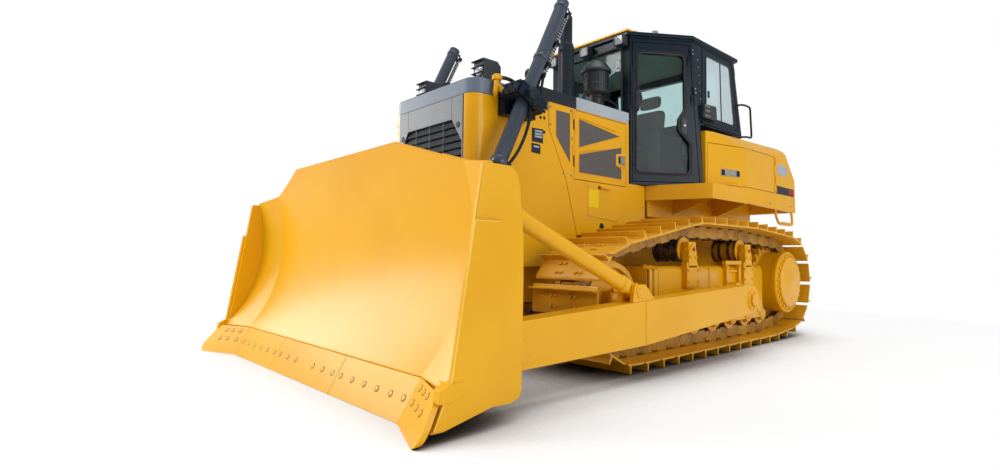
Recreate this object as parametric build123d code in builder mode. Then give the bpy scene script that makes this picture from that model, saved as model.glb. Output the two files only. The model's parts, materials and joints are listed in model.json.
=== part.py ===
"""A crawler bulldozer with a semi-U blade, as an assembly of separate pieces.

Frame: +X is forward, +Y is the machine's left, +Z is up, in millimetres.  The origin is on
the ground, in the middle of the overall length and width.  Places along the machine are
given by ahead(), the distance in front of the sprocket axis.
"""
from build123d import *
from math import asin, atan2, cos, hypot, pi, radians, sin, sqrt, tan
import os

os.makedirs("parts", exist_ok=True)

# ---------------------------------------------------------------- overall
overall_length = 5903        # rear face of the tank to the tips of the end bits
rear_overhang = 849          # rear face of the tank behind the sprocket axis
sprocket_x = rear_overhang - overall_length / 2


def ahead(distance):
    """The X of a place that lies this far in front of the sprocket axis."""
    return sprocket_x + distance


# ---------------------------------------------------------------- undercarriage
track_gauge = 2128           # centre line to centre line of the two tracks
shoe_width = 610
link_pitch = 216             # pin to pin, before the loop is closed exactly
link_half = 57               # pin line to either edge of a link
shoe_plate = 17
grouser_height = 58
pin_to_tip = link_half + shoe_plate + grouser_height
rail_offset = 88             # middle of a chain rail from the track's centre line
rail_width = 46

sprocket_pitch_radius = 419
sprocket_lift = 43           # the lowest link under the sprocket, above the track on the ground
sprocket_z = pin_to_tip + sprocket_lift + sprocket_pitch_radius
wheelbase = 2974             # sprocket axis to idler axis
idler_pitch_radius = 373
roller_radius = 100
roller_count = 7
roller_first = 470           # rearmost track roller, ahead of the sprocket
roller_last = wheelbase - 504                   # foremost track roller
carrier_radius = 102
carrier_z = sprocket_z + sprocket_pitch_radius - 95
carrier_places = (885, 1964)
running_gap = 0.3            # between a roller's tread and the links that lie on it

track_y = track_gauge / 2
shoe_outer = track_y + shoe_width / 2
shoe_inner = track_y - shoe_width / 2
idler_z = pin_to_tip + idler_pitch_radius
roller_z = pin_to_tip + link_half + running_gap + roller_radius

frame_half = 165             # the track frame's side faces, from the track's centre line
frame_wall = 26
frame_inner = track_y - frame_half
frame_outer = track_y + frame_half
frame_bottom = 420
frame_top = 778
frame_front = wheelbase - 374

drive_radius = 322           # final drive case
drive_face = shoe_outer - 32

# ---------------------------------------------------------------- hull and engine compartment
hull_half = 554              # hood sides, guard sides
rail_y = hull_half - 124     # middle of each frame rail
rail_half = 45
case_half = 600              # transmission case
case_top_z = 1257
belly_z = 430                # ground clearance
skirt_z = 1037               # lower edge of the engine side sheets
door_sill_z = 1530
hood_low_z = 2152            # underside of the hood's side band
hood_top_z = 2254
hood_rear = 1870
guard_front = 3838
guard_low_z = 760
guard_top_z = 2071           # top of the yellow guard, under its grey cap
cap_top_z = 2191
guard_corner = 110
sheet = 20

# ---------------------------------------------------------------- cab and rear
deck_z = 1569
deck_edge = 1147
deck_lip = 150
cab_eave_z = 3062
roof_top_z = 3185
cab_front = 1795
cab_front_half = 504
cab_corner = 1145            # where the angled door wall meets the side, at the deck
cab_half = 942               # the same place's distance from the middle
side_lean = 0.0414           # the sides lean in by this share of the height above the deck
cab_wall = 60
rear_lean_top = (343, 3119)  # two points on the cab's leaning rear face
rear_lean_low = (218, 2223)
tank_half = 1090
tank_bottom_z = 1409
tank_top_z = 2145

# ---------------------------------------------------------------- blade and push arms
arm_gap = 46                 # shoe edge to the push arm
arm_width = 145
arm_inner = shoe_outer + arm_gap
arm_outer = arm_inner + arm_width
arm_middle = (arm_inner + arm_outer) / 2
trunnion = (1454, 480)
trunnion_radius = 62
blade_margin = 76            # push arm to the side plate
plate = 25
side_inner = arm_outer + blade_margin
side_outer = side_inner + plate
wear_outer = side_outer + plate
wing_angle = 17              # the moldboard's wings
bit_angle = 23               # the end bits
blade_tip = overall_length - rear_overhang      # end bit tips, ahead of the sprocket
blade_back = blade_tip - 654                    # rear face of the lower beam
edge_thickness = 32
edge_joint = 495                                # the cutting edge is in three lengths
edge_reach = 153                                # its foot, behind the blade's tips
board_top = (blade_tip - 437, 1541)
board_radius = 1150
crease_y = side_outer - 371                     # where the wings begin, at the edge's foot
bit_foot = side_outer + 56                      # end bit's outer edge, carried on to the ground
bit_head = side_outer - 16                      # the same edge at the bit's top
bit_corner = 60                                 # its rounded corner
edge_low = (blade_tip - edge_reach, 0)
edge_high = (blade_tip - 279, 217)              # front top of the cutting edge

# ---------------------------------------------------------------- lift cylinders
cylinder_y = hull_half + 173
yoke = (3477, 2035)
eye = (blade_tip - 847, 560)
barrel_above = 996           # barrel end above the trunnion
barrel_below = 600
barrel_radius = 52
sleeve_radius = 60
bore_radius = 45
rod_radius = 36
rod_length = 1560
eye_radius = 60

gap = 6                      # shut gap round a door


# ---------------------------------------------------------------- shared ways of making a shape
def block(x, y, z, mode=Mode.ADD):
    """A box from low to high along each axis."""
    with Locations(((x[0] + x[1]) / 2, (y[0] + y[1]) / 2, (z[0] + z[1]) / 2)):
        Box(x[1] - x[0], y[1] - y[0], z[1] - z[0], mode=mode)


def profile(points, y, mode=Mode.ADD):
    """An outline in X and Z, filling the span of Y."""
    with BuildSketch(Plane.XZ.offset(-y[0])) as shape:
        with BuildLine():
            Polyline(*points, close=True)
        make_face()
    extrude(shape.sketch, amount=y[0] - y[1], mode=mode)


def plan(points, z, mode=Mode.ADD):
    """An outline in X and Y, filling the span of Z."""
    with BuildSketch(Plane.XY.offset(z[0])) as shape:
        with BuildLine():
            Polyline(*points, close=True)
        make_face()
    extrude(shape.sketch, amount=z[1] - z[0], mode=mode)


def elevation(points, x, mode=Mode.ADD):
    """An outline in Y and Z, filling the span of X."""
    with BuildSketch(Plane.YZ.offset(x[0])) as shape:
        with BuildLine():
            Polyline(*points, close=True)
        make_face()
    extrude(shape.sketch, amount=x[1] - x[0], mode=mode)


def across(x, z, y, radius, mode=Mode.ADD):
    """A round bar along Y."""
    with BuildSketch(Plane.XZ.offset(-y[0])) as disc:
        with Locations((x, z)):
            Circle(radius)
    extrude(disc.sketch, amount=y[0] - y[1], mode=mode)


def upright(x, y, z, radius, mode=Mode.ADD):
    """A round bar along Z."""
    with BuildSketch(Plane.XY.offset(z[0])) as disc:
        with Locations((x, y)):
            Circle(radius)
    extrude(disc.sketch, amount=z[1] - z[0], mode=mode)


def write(piece, name):
    piece.label = name
    export_step(piece, f"parts/{name}.step")


def write_pair(left, name):
    """The left piece, and its mirror image on the right."""
    write(left, f"{name}_left")
    with BuildPart() as right:
        mirror(left, about=Plane.XZ)
    write(right.part, f"{name}_right")


# ================================================================ track chain
def tangent(a, b):
    """The outer tangent from circle a to circle b, both (x, z, r), kept on the belt's left."""
    dx, dz = b[0] - a[0], b[1] - a[1]
    span = hypot(dx, dz)
    turn = atan2(dz, dx) + pi / 2 + asin((b[2] - a[2]) / span)
    n = (cos(turn), sin(turn))
    start = (a[0] + n[0] * a[2], a[1] + n[1] * a[2])
    end = (b[0] + n[0] * b[2], b[1] + n[1] * b[2])
    return start, end, turn


def pin_line(circles):
    """Pins at equal steps along a belt round the circles, which are listed clockwise."""
    pieces = []
    count = len(circles)
    runs = [tangent(circles[i], circles[(i + 1) % count]) for i in range(count)]
    for i in range(count):
        start, end, turn = runs[i]
        pieces.append(("run", start, end, hypot(end[0] - start[0], end[1] - start[1])))
        ring = circles[(i + 1) % count]
        swing = (turn - runs[(i + 1) % count][2]) % (2 * pi)
        pieces.append(("bend", ring, (turn, swing), ring[2] * swing))
    total = sum(piece[3] for piece in pieces)
    links = round(total / link_pitch)
    pins = []
    for i in range(links):
        left = total * i / links
        for kind, first, second, length in pieces:
            if left < length:
                break
            left -= length
        if kind == "run":
            t = left / length
            step = (second[0] - first[0], second[1] - first[1])
            pins.append((first[0] + step[0] * t, first[1] + step[1] * t))
        else:
            angle = second[0] - left / first[2]
            pins.append((first[0] + first[2] * cos(angle), first[1] + first[2] * sin(angle)))
    return pins


belt = (
    (ahead(0), sprocket_z, sprocket_pitch_radius),
    (ahead(carrier_places[0]), carrier_z, carrier_radius + link_half),
    (ahead(carrier_places[1]), carrier_z, carrier_radius + link_half),
    (ahead(wheelbase), idler_z, idler_pitch_radius),
    (ahead(roller_first), pin_to_tip + link_half + roller_radius, link_half + roller_radius),
)
pins = pin_line(belt)
links = len(pins)
print("track links", links)


def link_normals(i):
    """Outward normal of link i, and its direction and length."""
    a, b = pins[i], pins[(i + 1) % links]
    length = hypot(b[0] - a[0], b[1] - a[1])
    t = ((b[0] - a[0]) / length, (b[1] - a[1]) / length)
    return (-t[1], t[0]), t, length


def pin_offset(i, distance):
    """The place of pin i moved outward, square to the bisector of its two links."""
    n0, n1 = link_normals(i - 1)[0], link_normals(i)[0]
    n = ((n0[0] + n1[0]) / 2, (n0[1] + n1[1]) / 2)
    size = n[0] ** 2 + n[1] ** 2
    return (pins[i][0] + n[0] / size * distance, pins[i][1] + n[1] / size * distance)


# the grouser's outline along one shoe: share of the link, height over the links' edge
shoe_outline = (
    (0.03, shoe_plate),
    (0.10, shoe_plate),
    (0.15, shoe_plate + grouser_height),
    (0.21, shoe_plate + grouser_height),
    (0.27, shoe_plate),
    (0.97, shoe_plate),
)
shoe_points = []
for i in range(links):
    n, t, length = link_normals(i)
    for share, height in shoe_outline:
        h = link_half + height
        shoe_points.append((pins[i][0] + t[0] * share * length + n[0] * h,
                            pins[i][1] + t[1] * share * length + n[1] * h))
inside_points = [pin_offset(i, link_half) for i in range(links)]
rail_points = [pin_offset(i, -link_half) for i in range(links)]
rail_outer_points = [pin_offset(i, link_half + 4) for i in range(links)]

with BuildPart() as track:
    profile(shoe_points, (shoe_inner, shoe_outer))
    profile(inside_points, (shoe_inner, shoe_outer), mode=Mode.SUBTRACT)
    for side in (-1, 1):
        middle = track_y + side * rail_offset
        span = (middle - rail_width / 2, middle + rail_width / 2)
        with BuildSketch(Plane.XZ.offset(-span[0])):
            with BuildLine():
                Polyline(*rail_outer_points, close=True)
            make_face()
            with BuildLine():
                Polyline(*rail_points, close=True)
            make_face(mode=Mode.SUBTRACT)
        extrude(amount=-rail_width)
write_pair(track.part, "track")

# ================================================================ wheels inside the chain
def tread_radius(x, z):
    """The radius of a wheel at (x, z) that the nearest link of the chain lies on."""
    nearest = []
    for i in range(links):
        a, b = rail_points[i], rail_points[(i + 1) % links]
        run = (b[0] - a[0], b[1] - a[1])
        share = ((x - a[0]) * run[0] + (z - a[1]) * run[1]) / (run[0] ** 2 + run[1] ** 2)
        share = min(1, max(0, share))
        nearest.append(hypot(a[0] + run[0] * share - x, a[1] + run[1] * share - z))
    return min(nearest) - running_gap


idler_tread = tread_radius(ahead(wheelbase), idler_z)
tread_half = rail_offset + rail_width / 2 + 8
flange = 12
hub_radius = 55
flange_half = rail_offset - rail_width / 2 - 4

with BuildPart() as idler:
    across(ahead(wheelbase), idler_z, (track_y - tread_half, track_y + tread_half), idler_tread)
    across(ahead(wheelbase), idler_z, (track_y - flange_half, track_y + flange_half), idler_tread + 22)
    for side in (-1, 1):
        face = track_y + side * tread_half
        dish = (min(face, face - side * 34), max(face, face - side * 34))
        across(ahead(wheelbase), idler_z, dish, idler_tread - 40, mode=Mode.SUBTRACT)
        across(ahead(wheelbase), idler_z, dish, 96)
    across(ahead(wheelbase), idler_z, (track_y - tread_half - 52, track_y + tread_half + 52), hub_radius)
write_pair(idler.part, "idler")

with BuildPart() as rollers:
    for i in range(roller_count):
        x = ahead(roller_first + (roller_last - roller_first) * i / (roller_count - 1))
        tread = tread_radius(x, roller_z)
        across(x, roller_z, (track_y - tread_half, track_y + tread_half), tread)
        for side in (-1, 1):
            y = track_y + side * (tread_half + flange / 2)
            across(x, roller_z, (y - flange / 2, y + flange / 2), tread + 18)
        across(x, roller_z, (track_y - frame_half + frame_wall, track_y + frame_half - frame_wall), 40)
write_pair(rollers.part, "track_rollers")

bracket_inner = track_y + 150    # the upright that carries a carrier roller
bracket_outer = track_y + 205
with BuildPart() as carriers:
    for place in carrier_places:
        x = ahead(place)
        tread = tread_radius(x, carrier_z)
        across(x, carrier_z, (track_y - tread_half, track_y + tread_half), tread)
        for y in (track_y - tread_half, track_y + tread_half):
            across(x, carrier_z, (y - 8, y + 8), tread + 14)
        across(x, carrier_z, (track_y, bracket_inner), 32)
write_pair(carriers.part, "carrier_rollers")

teeth = 25
with BuildPart() as sprocket:
    across(ahead(0), sprocket_z, (track_y - 35, track_y + 35), sprocket_pitch_radius - 38)
    for i in range(teeth):
        c, s = cos(2 * pi * i / teeth), sin(2 * pi * i / teeth)
        root, tip = sprocket_pitch_radius - 45, sprocket_pitch_radius + 12
        outline = ((root, -30), (tip, -10), (tip, 10), (root, 30))
        tooth = [(ahead(0) + c * r - s * w, sprocket_z + s * r + c * w) for r, w in outline]
        profile(tooth, (track_y - 35, track_y + 35))
write_pair(sprocket.part, "sprocket")

with BuildPart() as final_drive:
    across(ahead(0), sprocket_z, (track_y + 35, drive_face - 20), drive_radius)
    across(ahead(0), sprocket_z, (drive_face - 20, drive_face), drive_radius * 0.62)
    across(ahead(0), sprocket_z, (case_half, track_y - 35), 235)
write_pair(final_drive.part, "final_drive")

# ================================================================ track frame
fork_low = idler_z - 95
fork_high = idler_z + 95
frame_rear = sprocket_pitch_radius + 45
with BuildPart() as track_frame:
    block((ahead(frame_rear), ahead(frame_front)), (frame_inner, frame_outer), (frame_bottom, frame_top))
    fillet(track_frame.edges().filter_by(Axis.X).group_by(Axis.Z)[-1], radius=58)
    for y in ((frame_inner, frame_inner + frame_wall), (frame_outer - frame_wall, frame_outer)):
        block((ahead(frame_rear), ahead(roller_last + 170)), y, (roller_z - 45, frame_bottom))
    for side in (-1, 1):
        near, far = track_y + side * (tread_half + 6), track_y + side * (tread_half + 46)
        span = (min(near, far), max(near, far))
        block((ahead(frame_front - 60), ahead(wheelbase + 90)), span, (fork_low, fork_high))
    across(ahead(wheelbase), idler_z, (0, track_gauge), hub_radius + running_gap, mode=Mode.SUBTRACT)
    for place in carrier_places:
        span = (bracket_inner, bracket_outer)
        block((ahead(place - 62), ahead(place + 62)), span, (frame_top - 190, carrier_z + 66))
        block((ahead(place - 92), ahead(place + 92)), span, (frame_top - 190, frame_top + 30))
    across(ahead(trunnion[0]), trunnion[1], (frame_outer, arm_outer - 12), trunnion_radius)
    across(ahead(trunnion[0]), trunnion[1], (frame_outer, frame_outer + 60), trunnion_radius + 50)
write_pair(track_frame.part, "track_frame")

# ================================================================ hull
rear_plate_face = -560       # where a ripper or winch bolts on
rear_hole_y = 500            # its bolt holes, across and up
rear_hole_step = 400
rear_hole_z = 920
rear_hole_radius = 17
rail_top_z = 760
with BuildPart() as main_frame:
    block((ahead(-520), ahead(950)), (-case_half, case_half), (belly_z + 60, case_top_z))
    for side in (-1, 1):
        y = (side * rail_y - rail_half, side * rail_y + rail_half)
        block((ahead(900), ahead(3560)), y, (belly_z + 40, rail_top_z))
    for x in (1500, 2500, 3480):
        block((ahead(x), ahead(x + 80)), (-rail_y, rail_y), (belly_z + 60, 700))
    across(ahead(640), 600, (-frame_inner, frame_inner), 90)
    block((ahead(2300), ahead(2440)), (-frame_inner, frame_inner), (belly_z + 120, belly_z + 290))
    block((ahead(rear_plate_face), ahead(-520)), (-360, 360), (470, 1200))
    with BuildSketch(Plane.YZ.offset(ahead(rear_plate_face) - 1)) as holes:
        with Locations((0, rear_hole_z)):
            with GridLocations(rear_hole_y, rear_hole_step, 2, 2):
                Circle(rear_hole_radius)
    extrude(holes.sketch, amount=91, mode=Mode.SUBTRACT)
write(main_frame.part, "main_frame")

with BuildPart() as bottom_guard:
    half = rail_y - rail_half
    block((ahead(960), ahead(3560)), (-half, half), (belly_z, belly_z + 16))
    block((ahead(960), ahead(1000)), (-half, half), (belly_z, belly_z + 60))
write(bottom_guard.part, "bottom_guard")

with BuildPart() as engine_block:
    engine_half = rail_y - 80
    block((ahead(1990), ahead(3180)), (-engine_half, engine_half), (1080, 1960))
    for x in (2150, 3000):
        for side in (-1, 1):
            y = side * (rail_y - rail_half)
            block((ahead(x), ahead(x + 90)), (y - 60, y + 60), (rail_top_z, 1180))
write(engine_block.part, "engine_block")

with BuildPart() as drawbar:
    for z in (470, 560):
        block((ahead(-820), ahead(-560)), (-110, 110), (z, z + 45))
    block((ahead(-620), ahead(-560)), (-220, 220), (440, 640))
    upright(ahead(-745), 0, (460, 620), 27, mode=Mode.SUBTRACT)
write(drawbar.part, "drawbar")

# ================================================================ radiator guard and hood
cap_rear = 3330              # the grey cap meets the hood
panel_line = ((3015, 2130), (3013, 1926), (2797, 1519), (2647, skirt_z))
with BuildPart() as radiator_guard:
    with BuildSketch(Plane.XY.offset(guard_low_z)):
        with BuildLine():
            Polyline((ahead(2640), -hull_half), (ahead(guard_front), -hull_half),
                     (ahead(guard_front), hull_half), (ahead(2640), hull_half), close=True)
        make_face()
    extrude(amount=guard_top_z - guard_low_z)
    front_edges = radiator_guard.edges().filter_by(Axis.Z).sort_by(Axis.X)[-2:]
    fillet(front_edges, radius=guard_corner)
    hollows = ((2600, cap_rear, guard_low_z - 1), (3300, guard_front - 60, guard_low_z + 40))
    for rear, front, low in hollows:
        block((ahead(rear), ahead(front)), (-hull_half + 28, hull_half - 28),
              (low, guard_top_z + 1), mode=Mode.SUBTRACT)
    opening = hull_half - guard_corner
    block((ahead(guard_front - 61), ahead(guard_front + 1)), (-opening, opening),
          (1180, guard_top_z + 1), mode=Mode.SUBTRACT)
    behind = [(ahead(2500), guard_top_z + 10), (ahead(3013), guard_top_z + 10)]
    behind += [(ahead(x), z) for x, z in panel_line[1:]] + [(ahead(2647), 600), (ahead(2500), 600)]
    profile(behind, (-hull_half - 1, hull_half + 1), mode=Mode.SUBTRACT)
write(radiator_guard.part, "radiator_guard")

with BuildPart() as guard_cap:
    with BuildSketch(Plane.XY.offset(guard_top_z)):
        with BuildLine():
            Polyline((ahead(cap_rear), -hull_half), (ahead(guard_front - 8), -hull_half),
                     (ahead(guard_front - 8), hull_half), (ahead(cap_rear), hull_half), close=True)
        make_face()
    extrude(amount=cap_top_z - guard_top_z)
    front_edges = guard_cap.edges().filter_by(Axis.Z).sort_by(Axis.X)[-2:]
    fillet(front_edges, radius=guard_corner)
    block((ahead(cap_rear - 1), ahead(guard_front - 68)), (-hull_half + 30, hull_half - 30),
          (guard_top_z - 1, cap_top_z - 20), mode=Mode.SUBTRACT)
write(guard_cap.part, "guard_cap")

grille_half = hull_half - guard_corner
with BuildPart() as grille:
    block((ahead(guard_front - 58), ahead(guard_front)), (-grille_half, grille_half), (1180, guard_top_z))
    block((ahead(guard_front - 59), ahead(guard_front + 1)), (-grille_half + 60, grille_half - 60),
          (1260, guard_top_z - 110), mode=Mode.SUBTRACT)
    slat_z = 1290
    while slat_z < guard_top_z - 130:
        block((ahead(guard_front - 50), ahead(guard_front - 8)), (-grille_half + 55, grille_half - 55),
              (slat_z, slat_z + 14))
        slat_z += 56
write(grille.part, "grille")

lamp_setback = 188
lamp_depth = 187
lamp_y = 390
lamp_half = 60
lamp_height = 205
with BuildPart() as head_lamps:
    for side in (-1, 1):
        x = (ahead(guard_front - lamp_setback - lamp_depth), ahead(guard_front - lamp_setback))
        y = (side * lamp_y - lamp_half, side * lamp_y + lamp_half)
        block(x, y, (cap_top_z, cap_top_z + lamp_height))
    chamfer(head_lamps.edges().filter_by(Axis.Y).group_by(Axis.Z)[-1].sort_by(Axis.X)[:2], length=36)
write(head_lamps.part, "head_lamps")

with BuildPart() as hood:
    block((ahead(hood_rear), ahead(cap_rear)), (-hull_half, hull_half), (hood_low_z, hood_top_z))
    block((ahead(hood_rear - 1), ahead(cap_rear + 1)), (-hull_half + sheet, hull_half - sheet),
          (hood_low_z - 1, hood_top_z - sheet), mode=Mode.SUBTRACT)
    nose = ((ahead(3175), hood_top_z), (ahead(cap_rear), hood_top_z - 62), (ahead(cap_rear), hood_top_z + 1),
            (ahead(3175), hood_top_z + 1))
    profile(nose, (-hull_half - 1, hull_half + 1), mode=Mode.SUBTRACT)
write(hood.part, "hood")

door_front = 2684            # the engine doors' hinge edge
door_knuckles = (1640, 1960)
knuckle_radius = 7
knuckle_length = 90
door_rear = 1922
sheet_rear = 1870
skirt_rear_z = 1190          # the sheet's lower edge near the fender
fender_front_inner = 1597    # the fender's front corner, beside the hull
fixed_window = ((2925, 2095), (2742, 2095), (2742, 1660), (2925, 1870))


def hinge_half(x, y, z, leaf):
    """Half of a surface hinge on a side at y: its knuckle, and its leaf forward or back."""
    upright(ahead(x), y + knuckle_radius, (z, z + knuckle_length), knuckle_radius)
    span = (ahead(min(x, x + leaf)), ahead(max(x, x + leaf)))
    block(span, (y, y + knuckle_radius), (z, z + knuckle_length))


with BuildPart() as hood_side:
    y = (hull_half - sheet, hull_half)
    outline = [(ahead(sheet_rear), hood_low_z), (ahead(3015 - 4), hood_low_z)]
    outline += [(ahead(x - 4), z) for x, z in panel_line[1:]]
    outline += [(ahead(2280), skirt_z), (ahead(sheet_rear), skirt_rear_z)]
    outline += [(ahead(fender_front_inner), z) for z in (skirt_rear_z, deck_z - gap)]
    outline += [(ahead(sheet_rear), deck_z - gap)]
    profile(outline, y)
    block((ahead(door_rear - gap), ahead(door_front + gap)), (hull_half - sheet - 1, hull_half + 1),
          (door_sill_z - gap, hood_low_z - 10), mode=Mode.SUBTRACT)
    mesh_hole = [(ahead(x), z) for x, z in fixed_window]
    profile(mesh_hole, (hull_half - 9, hull_half + 1), mode=Mode.SUBTRACT)
    for z in door_knuckles:
        hinge_half(door_front + 1, hull_half, z + knuckle_length + running_gap, 30)
write_pair(hood_side.part, "hood_side")

with BuildPart() as engine_door:
    x = (ahead(door_rear), ahead(door_front))
    block(x, (hull_half - sheet, hull_half), (door_sill_z, hood_low_z - 10 - gap))
    low, high = door_sill_z + 60, hood_low_z - 70
    near, far = door_front - 70, door_rear + 70
    panes = (((far, low), (near, low), (near, low + 190), (far, low + 300)),
             ((near, high), (far + 80, high - 40), (near, low + 290)))
    for pane in panes:
        shape = [(ahead(px), pz) for px, pz in pane]
        profile(shape, (hull_half - 9, hull_half + 1), mode=Mode.SUBTRACT)
    for z in door_knuckles:
        hinge_half(door_front + 1, hull_half, z, -30)
write_pair(engine_door.part, "engine_door")

with BuildPart() as exhaust_stack:
    x, y = ahead(2300), 120
    upright(x, y, (hood_top_z, hood_top_z + 700), 72)
    upright(x, y, (hood_top_z + 700, 3245), 60)
    upright(x, y, (hood_top_z + 750, 3246), 54, mode=Mode.SUBTRACT)
    slant = ((x - 80, 3246), (x + 80, 3246), (x + 80, 3150))
    profile(slant, (y - 90, y + 90), mode=Mode.SUBTRACT)
write(exhaust_stack.part, "exhaust_stack")

with BuildPart() as pre_cleaner:
    x, y = ahead(1981), 240
    upright(x, y, (hood_top_z, 2480), 62)
    upright(x, y, (2480, 2700), 118)
    upright(x, y, (2700, 2726), 152)
    with BuildSketch(Plane.XY.offset(2726)):
        with Locations((x, y)):
            Circle(150)
    extrude(amount=100, taper=45)
write(pre_cleaner.part, "pre_cleaner")

# ================================================================ lift cylinder yokes
reach = hypot(eye[0] - yoke[0], eye[1] - yoke[1])
axis_x = (eye[0] - yoke[0]) / reach
axis_z = (eye[1] - yoke[1]) / reach
yoke_plane = Plane(origin=(ahead(yoke[0]), cylinder_y, yoke[1]), x_dir=(0, 1, 0), z_dir=(axis_x, 0, axis_z))
ring_in = (68, 86)           # half opening of the ring across and along the machine
ring_out = (100, 138)
ring_height = 110
pin_radius = 26
with BuildPart() as cylinder_yokes:
    with BuildSketch(yoke_plane.offset(-ring_height / 2)):
        Rectangle(2 * ring_out[0], 2 * ring_out[1])
        Rectangle(2 * ring_in[0], 2 * ring_in[1], mode=Mode.SUBTRACT)
    extrude(amount=ring_height)
    across(ahead(yoke[0]), yoke[1], (cylinder_y - 200, cylinder_y + 200), pin_radius + running_gap,
           mode=Mode.SUBTRACT)
    block((ahead(yoke[0] - 110), ahead(yoke[0] + 110)), (hull_half, cylinder_y - ring_out[0] + 4),
          (yoke[1] - 110, yoke[1] + 30))
    mirror(cylinder_yokes.part, about=Plane.XZ)
write(cylinder_yokes.part, "cylinder_yokes")


with BuildPart() as barrel:
    with BuildSketch(yoke_plane.offset(-barrel_above)):
        Circle(barrel_radius)
    extrude(amount=barrel_above + 10)
    with BuildSketch(yoke_plane.offset(-60)):
        RegularPolygon(radius=sleeve_radius, side_count=8)
    extrude(amount=60 + barrel_below)
    across(ahead(yoke[0]), yoke[1], (cylinder_y - ring_out[0] + 6, cylinder_y + ring_out[0]), pin_radius)
    with BuildSketch(yoke_plane.offset(-barrel_above + 40)):
        Circle(bore_radius)
    extrude(amount=barrel_above - 40 + barrel_below - 60, mode=Mode.SUBTRACT)
    with BuildSketch(yoke_plane.offset(barrel_below - 61)):
        Circle(rod_radius + 0.5)
    extrude(amount=62, mode=Mode.SUBTRACT)
write_pair(barrel.part, "lift_cylinder")

with BuildPart() as rod:
    with BuildSketch(yoke_plane.offset(reach - rod_length)):
        Circle(bore_radius - 0.5)
    extrude(amount=60)
    with BuildSketch(yoke_plane.offset(reach - rod_length + 50)):
        Circle(rod_radius)
    extrude(amount=rod_length - 50)
    across(ahead(eye[0]), eye[1], (cylinder_y - 38, cylinder_y + 38), eye_radius)
write_pair(rod.part, "lift_rod")

# ================================================================ cab
sill_z = 2200                # the cab is narrower between the tanks, below this height
cab_low_half = 800
low_step = 5                 # the narrow part begins this far ahead of the corner
rear_lean = (rear_lean_top[0] - rear_lean_low[0]) / (rear_lean_top[1] - rear_lean_low[1])


def rear_at(z):
    """The cab's leaning rear face at a height, ahead of the sprocket."""
    return rear_lean_low[0] + (z - rear_lean_low[1]) * rear_lean


def side_at(z):
    """The cab's leaning side face at a height, from the middle of the machine."""
    return cab_half - (z - deck_z) * side_lean


door_run = hypot(cab_front - cab_corner, cab_half - cab_front_half)
door_dir = ((cab_corner - cab_front) / door_run, (cab_half - cab_front_half) / door_run)
door_out = (door_dir[1], -door_dir[0])
door_plane = Plane(origin=(ahead(cab_front), cab_front_half, 0), x_dir=(door_dir[0], door_dir[1], 0),
                   z_dir=(door_out[0], door_out[1], 0))


def run_at(z):
    """The cab's corner at a height, as a distance along the door wall from the front pillar."""
    return door_run - (cab_half - side_at(z)) / door_dir[1]


def beside_corner(setback, low, high):
    """The ends of a line that leans along the cab's corner, this far in front of it."""
    return [(run_at(high) - setback, high), (run_at(low) - setback, low)]


low_corner = cab_corner + low_step
low_corner_y = cab_half + low_step * door_dir[1] / door_dir[0]
upper_half = ((ahead(0), 0), (ahead(cab_front), 0), (ahead(cab_front), cab_front_half),
              (ahead(cab_corner), cab_half), (ahead(0), cab_half))
lower_half = ((ahead(0), 0), (ahead(cab_front), 0), (ahead(cab_front), cab_front_half),
              (ahead(low_corner), low_corner_y), (ahead(low_corner), cab_low_half), (ahead(0), cab_low_half))
cut_low, cut_high = deck_z - 10, cab_eave_z + 200


def leaning_cut(setback):
    """Takes off what lies behind the cab's rear face, moved forward by the setback."""
    profile([(ahead(-20), cut_low), (ahead(rear_at(cut_low) + setback), cut_low),
             (ahead(rear_at(cut_high) + setback), cut_high), (ahead(-20), cut_high)],
            (-1, cab_half + 1), mode=Mode.SUBTRACT)


def side_cut(inset):
    """Takes off what lies outside the cab's side face, moved inward by the inset."""
    elevation([(side_at(cut_low) - inset, cut_low), (cab_half + 80, cut_low),
               (cab_half + 80, cut_high), (side_at(cut_high) - inset, cut_high)],
              (ahead(-20), ahead(cab_front + 1)), mode=Mode.SUBTRACT)


with BuildPart() as cab_hollow:
    floors = ((upper_half, sill_z + 30, cab_eave_z + 1), (lower_half, deck_z + 60, sill_z + 40))
    for outline, low, high in floors:
        with BuildSketch(Plane.XY.offset(low)):
            with BuildLine():
                Polyline(*outline, close=True)
            make_face()
            offset(amount=-cab_wall, kind=Kind.INTERSECTION, mode=Mode.REPLACE)
        extrude(amount=high - low)
        block((ahead(0), ahead(cab_front - cab_wall)), (0, cab_wall + 1), (low, high))
    leaning_cut(cab_wall)
    side_cut(cab_wall)

jamb = 34
door_low, door_high = deck_z + 30, cab_eave_z - 55
front_pane = ((0, 420), (1770, cab_eave_z - 90))
quarter_pane = ((966, 2965), (449, 2965), (395, 2310), (1021, 2310))
rear_pane = ((0, 690), (2240, cab_eave_z - 90))
# the door's pane, along the door wall and up: narrowed for the handle and for the lock
door_pane = ((73, 1692), (76, 2295), (132, 2394), (132, 2453), (90, 2551), (98, 2900), (584, 2895),
             (592, 2352), (527, 2250), (524, 2129), (647, 1993), (644, 1689))
pane_corner = 50


def on_door(points, depth, mode):
    """A plate on the door wall, between two depths inward from its face."""
    with BuildSketch(door_plane.offset(-depth[1])) as shape:
        with BuildLine():
            Polyline(*points, close=True)
        make_face()
    extrude(shape.sketch, amount=depth[1] - depth[0], mode=mode)


def door_window(depth, mode):
    """The door's rounded pane, between two depths inward from the door wall's face."""
    with BuildSketch(door_plane.offset(-depth[1])) as shape:
        with BuildLine():
            Polyline(*door_pane, close=True)
        make_face()
        fillet(shape.vertices(), radius=pane_corner)
    extrude(shape.sketch, amount=depth[1] - depth[0], mode=mode)


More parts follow.
